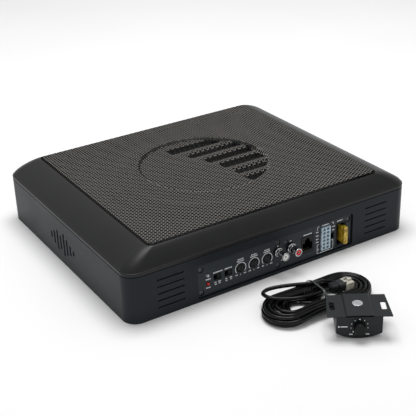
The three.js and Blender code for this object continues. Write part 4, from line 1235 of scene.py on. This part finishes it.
def fuse_housing():
    left, right, bottom, top = FUSE_HOLDER
    front, base = PANEL_FACE + 0.1, FUSE_SEAT
    body = box((left, right), (front, front + 17), (bottom, top))
    without(body, box((left + 1, right - 0.9), (front - 1, base), (bottom + 1.2, top - 1.2)))
    return without(body, [box((FUSE_X - 0.7, FUSE_X + 0.7), (base - 1, base + 9.5),
                              (FUSE_Z + s * BLADE - 2.9, FUSE_Z + s * BLADE + 2.9)) for s in (-1, 1)])


piece(fuse_housing(), "fuse_housing", "black", bevel=0.25, replaces=("fuse_holder",))


def fuse_body():
    x, z, half, thick = FUSE_X, FUSE_Z, FUSE_WIDTH / 2, FUSE_THICK / 2
    outer, base = FRONT - 4, FUSE_SEAT - GAP
    cap = prism(rounded(x - thick, x + thick, z - half, z + half, 1.1, 4), outer, outer + 5, "Y")
    joined(cap, box((x - 1.9, x + 1.9), (outer + 4.5, base), (z - half + 0.9, z + half - 0.9)))
    without(cap, [box((x - thick - 1, x - thick + 0.6), (outer + 1.2, outer + 4.4), (z - 5.5, z + 5.5)),
                  box((x + thick - 0.6, x + thick + 1), (outer + 1.2, outer + 4.4), (z - 5.5, z + 5.5))])
    return without(cap, [box((x - 0.9, x + 0.9), (outer - 1, outer + 0.7),
                             (z + s * 6.2 - 1.3, z + s * 6.2 + 1.3)) for s in (-1, 1)])


def fuse_element():
    x, z, base = FUSE_X, FUSE_Z, FUSE_SEAT - GAP
    shapes = [box((x - 0.35, x + 0.35), (FRONT - 1.5, base + 8.5), (z + s * BLADE - 2.4, z + s * BLADE + 2.4))
              for s in (-1, 1)]
    arch = [(x, FRONT - out, z + up)
            for out, up in ((0.8, 5.6), (1.9, 3.0), (0.4, 0.0), (1.9, -3.0), (0.8, -5.6))]
    shapes.append(swept(smooth_line(arch, 0.7), [(-0.3, -0.5), (0.3, -0.5), (0.3, 0.5), (-0.3, 0.5)]))
    return merged(shapes)


piece(fuse_body(), "fuse_cap", "fuse", "fuse", bevel=0.3, replaces=("blade_fuse",))
piece(fuse_element(), "fuse_element", "steel", "fuse")

# ---------------- woofer


def at_woofer(profile, sides=96, soft=0.25):
    return turned(profile, 0, WOOFER_Y, "Z", sides, soft)


def woofer_basket():
    ring = at_woofer([(28, 30.3), (47, 30.3), (64, 33.5), (89, 50), (89.5, 52.7), (101, 52.7), (101, 55.5),
                      (88, 55.5), (86.5, 51.6), (62.5, 38.6), (60.5, 35.6), (46, 32.8), (28, 32.8),
                      (28, 30.3)])
    windows = []
    for i in range(6):
        opening = prism(rounded(67, 84, -19, 19, 4, 4), 38.5, 50.5)
        windows.append(moved(opening, (0, WOOFER_Y, 0), (i + 0.5) * math.pi / 3))
    holes = [rod(95 * math.cos(a), WOOFER_Y + 95 * math.sin(a), 2.2, 52, 56, sides=20)
             for a in [math.pi / 8 + k * math.pi / 4 for k in range(8)]]
    return without(ring, windows, holes)


def surround():
    roll, thick, base, centre = 5.4, 0.6, 55.8, 82.2
    steps = 14
    angles = [math.pi * (1 - i / steps) for i in range(steps + 1)]
    upper, lower = [[(centre + r * math.cos(a), base + 0.3 + r * math.sin(a)) for a in angles]
                    for r in (roll, roll - thick)]
    profile = [(72.5, base), (72.5, base + thick), *upper, (96, base + thick), (96, base), *lower[::-1],
               (72.5, base)]
    return at_woofer(profile, soft=0)


def spider():
    upper, lower = [], []
    for i in range(37):
        r = 27 + i / 36 * 25
        z = 34.8 + 1.4 * i / 36 - 0.6 * math.cos(i / 36 * 6 * math.pi)
        upper.append((r, z + 0.5))
        lower.append((r, z))
    inner = [(25.3, 34.3), (25.3, 34.8)]
    return at_woofer([*inner, *upper, (59.5, 36.7), (59.5, 36.2), *lower[::-1], inner[0]], soft=0)


def ring_profile(inner, outer, low, high):
    return [(inner, low), (outer, low), (outer, high), (inner, high), (inner, low)]


def cone_profile():
    rings = 24
    top = [(25.3 + 47.7 * i / rings, 41.8 + 13.5 * i / rings - 1.2 * math.sin(math.pi * i / rings))
           for i in range(rings + 1)]
    under = [(r + 0.2, z - 0.9) for r, z in top[1:-1]]
    return [(25.3, 40.8), *under, (73.5, 54.3), (77, 54.6), (77, 55.4), *top[::-1], (25.3, 40.8)]


def dust_profile():
    steps = 16
    top = [(31 * i / steps, 52.5 - 7.3 * (i / steps) ** 2.4) for i in range(steps + 1)]
    return [*top, (31, 44.3), *[(r * 0.985, z - 0.9) for r, z in top[:-1][::-1]]]


piece(woofer_basket(), "basket", "basket", bevel=0.3, replaces=("woofer_basket",))
roll_edge = piece(surround(), "surround", "rubber", replaces=("woofer_surround",))
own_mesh(roll_edge)
cloth_ring = piece(spider(), "spider", "spider", replaces=("woofer_spider",))
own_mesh(cloth_ring)
piece(at_woofer(cone_profile(), soft=0), "cone", "cone", "cone_assembly", replaces=("woofer_cone",))
piece(at_woofer(dust_profile(), soft=0), "dome", "cone", "cone_assembly", replaces=("dust_cap",))
piece(at_woofer(ring_profile(23.8, 24.9, 17, 43), soft=0.1), "coil_former", "copper", "cone_assembly",
      replaces=("voice_coil",))
piece(at_woofer(ring_profile(26.2, 46, 24, 30), soft=0.6), "front_plate", "steel", replaces=("top_plate",))
piece(at_woofer(ring_profile(27.5, 49, 11.3, 23.7), soft=0.8), "magnet_ring", "ferrite", replaces=("magnet",))
piece(at_woofer([(6, 5), (46, 5), (46, 11), (23, 11), (23, 30), (6, 30), (6, 5)], soft=0.6), "back_plate",
      "steel", replaces=("yoke",))

# ---------------- amplifier

BOARD_TOP = 7.6
board = without(box((-95, 95), (-116.5, -54), (6, BOARD_TOP)), rod(0, WOOFER_Y, 62, 5, 9, sides=64))
piece(board, "board", "board", bevel=0.1, replaces=("amplifier_board",))


def heatsink():
    outline = [(-114, BOARD_TOP + GAP), (-100, BOARD_TOP + GAP)]
    for i in range(6, -1, -1):
        y = -114 + i * 2.15
        outline += [(y + 1.1, 26), (y, 26)]
        if i:
            outline += [(y, 12), (y - 1.05, 12)]
    outline[1] = (outline[2][0], outline[1][1])
    return prism(outline, -88, -22, "X")


piece(heatsink(), "heatsink", "aluminium", bevel=0.15, replaces=("heatsink_bar",))
can = BOARD_TOP + GAP
sleeve = turned([(0, can), (9, can), (9, can + 2.5), (8.6, can + 3.1), (9, can + 3.7), (9, can + 27),
                 (8.2, can + 28), (6.5, can + 27.7), (0, can + 27.7)], -62, -82, soft=0.4)
piece(sleeve, "capacitor", "sleeve", replaces=("supply_capacitor",))

RING_CENTRE, RING_SIDES, RING_TURNS, WIRE_RIDGE = (64, -82), 168, 42, 0.35


def wound_ring():
    """A ring core with its winding's turns showing as ridges."""
    cx, cy = RING_CENTRE
    section = [(9, 2), (9, 16), (11, 18), (21, 18), (23, 16), (23, 2), (21, 0), (11, 0)]
    rings = []
    for k in range(RING_SIDES):
        angle = 2 * math.pi * k / RING_SIDES
        hollow = WIRE_RIDGE - WIRE_RIDGE * abs(math.sin(RING_TURNS * angle))
        ring = []
        for r, z in section:
            out_r = r - hollow * (1 if r > 16 else -1)
            out_z = z + can + hollow * (1 if z < 9 else -1)
            ring.append((cx + out_r * math.cos(angle), cy + out_r * math.sin(angle), out_z))
        rings.append(ring)
    return skin(rings)


piece(wound_ring(), "ring_transformer", "copper", replaces=("supply_transformer",))
LONG_SCREW = [(0, 7.3), (0.9, 6.9), (1.6, 6.4), (3.0, 6.4), (3.2, 6.7), (3.2, 8.7), (1.4, 8.7),
              (1.4, 54.5), (0, 54.5)]
for number, (sx, sy) in enumerate(COVER_SCREWS, 1):
    piece(turned(LONG_SCREW, sx, sy, sides=32, soft=0.1), f"long_screw_{number}", "screw",
          replaces=(f"cover_screw_{number}",))

# ---------------- level control


def level_outline(half, bottom, shoulder, top, steps=16):
    sag = shoulder - bottom
    radius = (half ** 2 + sag ** 2) / (2 * sag)
    sweep = math.degrees(math.asin(half / radius))
    return [(half, top), (-half, top)] + arc(0, bottom + radius, radius, -90 - sweep, -90 + sweep, steps)


def level_housing():
    shell = prism(level_outline(20.2, 0.3, 5.6, LEVEL_TOP), 0, LEVEL_DEPTH, "Y")
    cavity = prism(level_outline(18.2, 2.4, 7, LEVEL_TOP + 1), 2, LEVEL_DEPTH - 2, "Y")
    steps = [(0, -1), (3.6, -1), (3.35, 1.2), (2.95, 1.3), (2.95, 2.0), (3.2, 2.1), (3.05, 3.2), (2.7, 3.3),
             (2.7, 4.0), (2.9, 4.1), (2.75, 5), (0, 5)]
    spout = turned([(radius, LEVEL_DEPTH + out) for radius, out in steps], 0, 9, "Y", 40, 0.1)
    joined(shell, spout)
    return without(shell, cavity, rod(0, KNOB_Z, 2.2, -1, 3, "Y"))


def level_bracket():
    low, thick, step = LEVEL_TOP + GAP, 1.2, 1.0
    under = [(-30, low), (-12.4, low), (-11.2, low + step), (11.2, low + step), (12.4, low), (30, low)]
    above = [(30, low + thick), (12.4, low + thick), (11.2, low + thick + step), (-11.2, low + thick + step),
             (-12.4, low + thick), (-30, low + thick)]
    blank = prism(under + above, -0.5, 34.5, "Y")
    sides = []
    for side in (-1, 1):
        plan = [(side * 28.6, -2), (side * 26.1, 36), (side * 40, 36), (side * 40, -2)]
        sides.append(prism(plan, low - 1, low + 4))
    slots = [prism(rounded(side * 22.6 - 2.3, side * 22.6 + 2.3, 10, 22.5, 1.2, 5), low - 1, low + 4)
             for side in (-1, 1)]
    return without(blank, sides, slots)


level_piece(level_housing(), "level_case", "level", bevel=0.35, replaces=("level_housing",))
level_piece(level_bracket(), "level_plate", "level", bevel=0.22, replaces=("level_bracket",))


def foil_label():
    return turned([(0, 24.8), (4.7, 24.8), (4.7, 25.05), (4.55, 25.15), (4.1, 25.15), (4.0, 25.08),
                   (3.8, 25.08), (3.7, 25.15), (0, 25.15)], 0, 18, soft=0)


level_piece(foil_label(), "round_label", "foil", replaces=("level_label",))


GRIP_DEPTH, GRIP_RIBS = 0.022, 20


def grip_knob():
    """A short knob with fine grip ribs round its skirt."""
    profile = [(0, -6.5), (4.3, -6.5), (4.9, -6.15), (5.15, -5.6), (5.45, -0.8), (5.45, -GAP), (1.5, -GAP),
               (1.5, 6), (0, 6)]
    knob = turned(profile, 0, KNOB_Z, "Y", 120, 0.2)
    for vertex in knob.data.vertices:
        x, y, z = vertex.co.x, vertex.co.y, vertex.co.z - KNOB_Z
        r = math.hypot(x, z)
        if r > 4.6 and y < -GAP - 0.2:
            angle = math.atan2(z, x)
            grow = 1 + GRIP_DEPTH * math.cos(GRIP_RIBS * angle)
            vertex.co.x, vertex.co.z = x * grow, KNOB_Z + z * grow
    pointer = prism([(-0.35, KNOB_Z + 1.6), (0.35, KNOB_Z + 1.6), (0.35, KNOB_Z + 5), (-0.35, KNOB_Z + 5)],
                    -7.5, -6.2, "Y")
    return without(knob, pointer)


level_piece(grip_knob(), "level_dial", "knob", "level_knob", replaces=("level_knob",))
pot = without(box((-5.5, 5.5), (2 + GAP, 9.5), (KNOB_Z - 5, KNOB_Z + 5.5)), rod(0, KNOB_Z, 1.8, 1, 6.6, "Y"))
level_piece(pot, "level_sensor", "steel", bevel=0.3, replaces=("level_potentiometer",))


MARK, SCALE_RADIUS = (-0.05, 0.02), 7.4


def level_print():
    """Nine scale dots round the knob, and a short plain bar at each end of the scale."""
    shapes = []
    for i in range(9):
        angle = math.radians(225 - i * 270 / 8)
        size = 0.55 if i in (0, 4, 8) else 0.42
        x, z = SCALE_RADIUS * math.cos(angle), KNOB_Z + SCALE_RADIUS * math.sin(angle)
        shapes.append(rod(x, z, size, *MARK, "Y", 16))
    for side in (-1, 1):
        shapes.append(prism(rounded(side * 7.2 - 1.5, side * 7.2 + 1.5, 4.2, 5.0, 0.3, 3), *MARK, "Y"))
    shapes.append(prism(rounded(-16.5, -10.2, KNOB_Z - 0.4, KNOB_Z + 0.4, 0.35, 3), *MARK, "Y"))
    shapes.append(rod(-17.9, KNOB_Z, 0.75, *MARK, "Y", 20))
    return merged(shapes)


level_piece(level_print(), "level_print", "print")

# ---------------- boot, plug and tie


def plug_piece(obj, name, material, body="level_control", **settings):
    """As piece, for a shape modelled in the plug's own frame, with the lead coming in at x = 0."""
    return piece(moved(obj, PLUG_PLACE, PLUG_TURN), name, material, body, **settings)


WAY_PITCH, WIRE_RADIUS = 1.27, 0.46


def rounded_section(x, half_y, half_z):
    radius = min(half_y, half_z) * 0.55
    return [(x, y, z) for y, z in rounded(-half_y, half_y, -half_z, half_z, radius, 5)]


def plug_boot():
    rings = [(0.3, 2.4, 2.4), (0.9, 3.2, 2.9)]
    for x in (1.2, 3.4, 5.6):
        rings += [(x, 3.3, 3.0), (x + 0.1, 5.0, 4.3), (x + 1.3, 5.2, 4.4), (x + 1.4, 3.4, 3.1)]
    rings += [(7.8, 3.6, 3.2), (8.3, 5.2, 4.2), (11.0, 5.4, 4.3), (14.6, 5.5, 4.2)]
    return skin([rounded_section(*ring) for ring in rings], closed_rings=False)


def plug_shell():
    body = box((14.8, 24), (-5.8, 5.8), (-4, 3))
    joined(body, prism([(-1.6, 2.8), (1.6, 2.8), (1.6, 4.6), (-1.6, 4.6)], 15, 24, "X"))
    without(body, box((14, 19.5), (-3, 3), (3.4, 6)))
    grooves = [box((20.5, 25), (way * WAY_PITCH - 0.3, way * WAY_PITCH + 0.3), (-5, -3.2)) for way in WAYS]
    return without(body, grooves, [box((14, 17.5), (-4.6, 4.6), (-2.6, 1.6))])


def plug_wires():
    stations = ((12.5, 0.8, -0.4), (15.0, 0.95, -0.5), (17.4, 1.02, -0.6))
    return merged([swept([Vector((x, way * spread, z)) for x, spread, z in stations],
                         disc(0, 0, WIRE_RADIUS, 10))
                   for way in WAYS])


def plug_contacts():
    return merged([box((20.7, 23.8), (way * WAY_PITCH - 0.25, way * WAY_PITCH + 0.25), (-3.9, -3.3))
                   for way in WAYS])


boot = plug_piece(plug_boot(), "boot", "rubber", bevel=0.15, replaces=("plug_boot",))
plug = plug_piece(plug_shell(), "plug", "clear", bevel=0.25, replaces=("modular_plug",))
wires = plug_piece(plug_wires(), "plug_wires", "wire")
contacts = plug_piece(plug_contacts(), "plug_contacts", "gold", bevel=0.05)


def tie_wire():
    """A thin tie round the back of the hank and the lead over it, its ends twisted together."""
    loop = [(3.6, -6.6, 14.6), (4.4, -4.6, 15.7), (4.8, -1.5, 15.9), (5.0, 4.0, 15.8), (5.0, 9.0, 15.9),
            (5.0, 14.5, 15.8), (5.0, 18.5, 14.4), (5.0, 22.0, 12.6), (5.0, 24.4, 9.0), (5.0, 24.7, 5.0),
            (5.0, 23.6, 1.6), (5.0, 20.0, 0.45), (5.0, 8.0, 0.4), (5.0, -5.0, 0.45), (5.0, -7.2, 2.0),
            (4.6, -7.4, 8.0), (4.0, -7.3, 13.0)]
    line = smooth_line([hank_to_world(*p) for p in loop], 0.8)
    shapes = [swept(line, rounded(-0.9, 0.9, -0.28, 0.28, 0.25, 2))]
    for phase in (0.0, math.pi):
        ends = []
        for i in range(25):
            t = i / 24
            a = phase + t * 4 * math.pi
            u, z = 3.7 + 0.5 * math.cos(a) - t * 0.8, 14.4 + 0.5 * math.sin(a) - 1.2 * t
            ends.append(hank_to_world(u, -6.9 - 5.5 * t, z))
        shapes.append(swept(smooth_line(ends, 0.4), rounded(-0.7, 0.7, -0.28, 0.28, 0.25, 2)))
    return merged(shapes)


tie = piece(tie_wire(), "tie", "tie", "level_control", replaces=("twist_tie",))

# ---------------- floor and light


FLOOR_REACH, FLOOR_CORNER, FLOOR_HEIGHTS = 3000, 40, (-2.0, -0.05)
WORLD_STRENGTH, OVERHEAD_WATTS = 0.62, 17


def make_floor():
    obj = prism(rounded(-FLOOR_REACH, FLOOR_REACH, -FLOOR_REACH, FLOOR_REACH, FLOOR_CORNER), *FLOOR_HEIGHTS)
    obj.data.transform(Matrix.Scale(MM, 4))
    obj.name = "floor"
    obj.data.materials.append(floor_material())


def area_light(name, place, target, size, watts):
    data = bpy.data.lights.new(name, "AREA")
    data.shape = "RECTANGLE"
    data.size, data.size_y = size
    data.energy = watts
    light = linked(name, data)
    light.location = place
    light.rotation_euler = (Vector(target) - Vector(place)).to_track_quat("-Z", "Y").to_euler()


def make_light():
    world = bpy.data.worlds.new("studio")
    world.use_nodes = True
    background = world.node_tree.nodes["Background"]
    background.inputs["Color"].default_value = (1.0, 1.0, 1.0, 1.0)
    background.inputs["Strength"].default_value = WORLD_STRENGTH
    bpy.context.scene.world = world
    bpy.context.scene.view_settings.view_transform = "Standard"
    area_light("overhead", (0.1, 0.2, 1.5), (0, 0, 0), (0.9, 0.7), OVERHEAD_WATTS)


make_floor()
make_light()
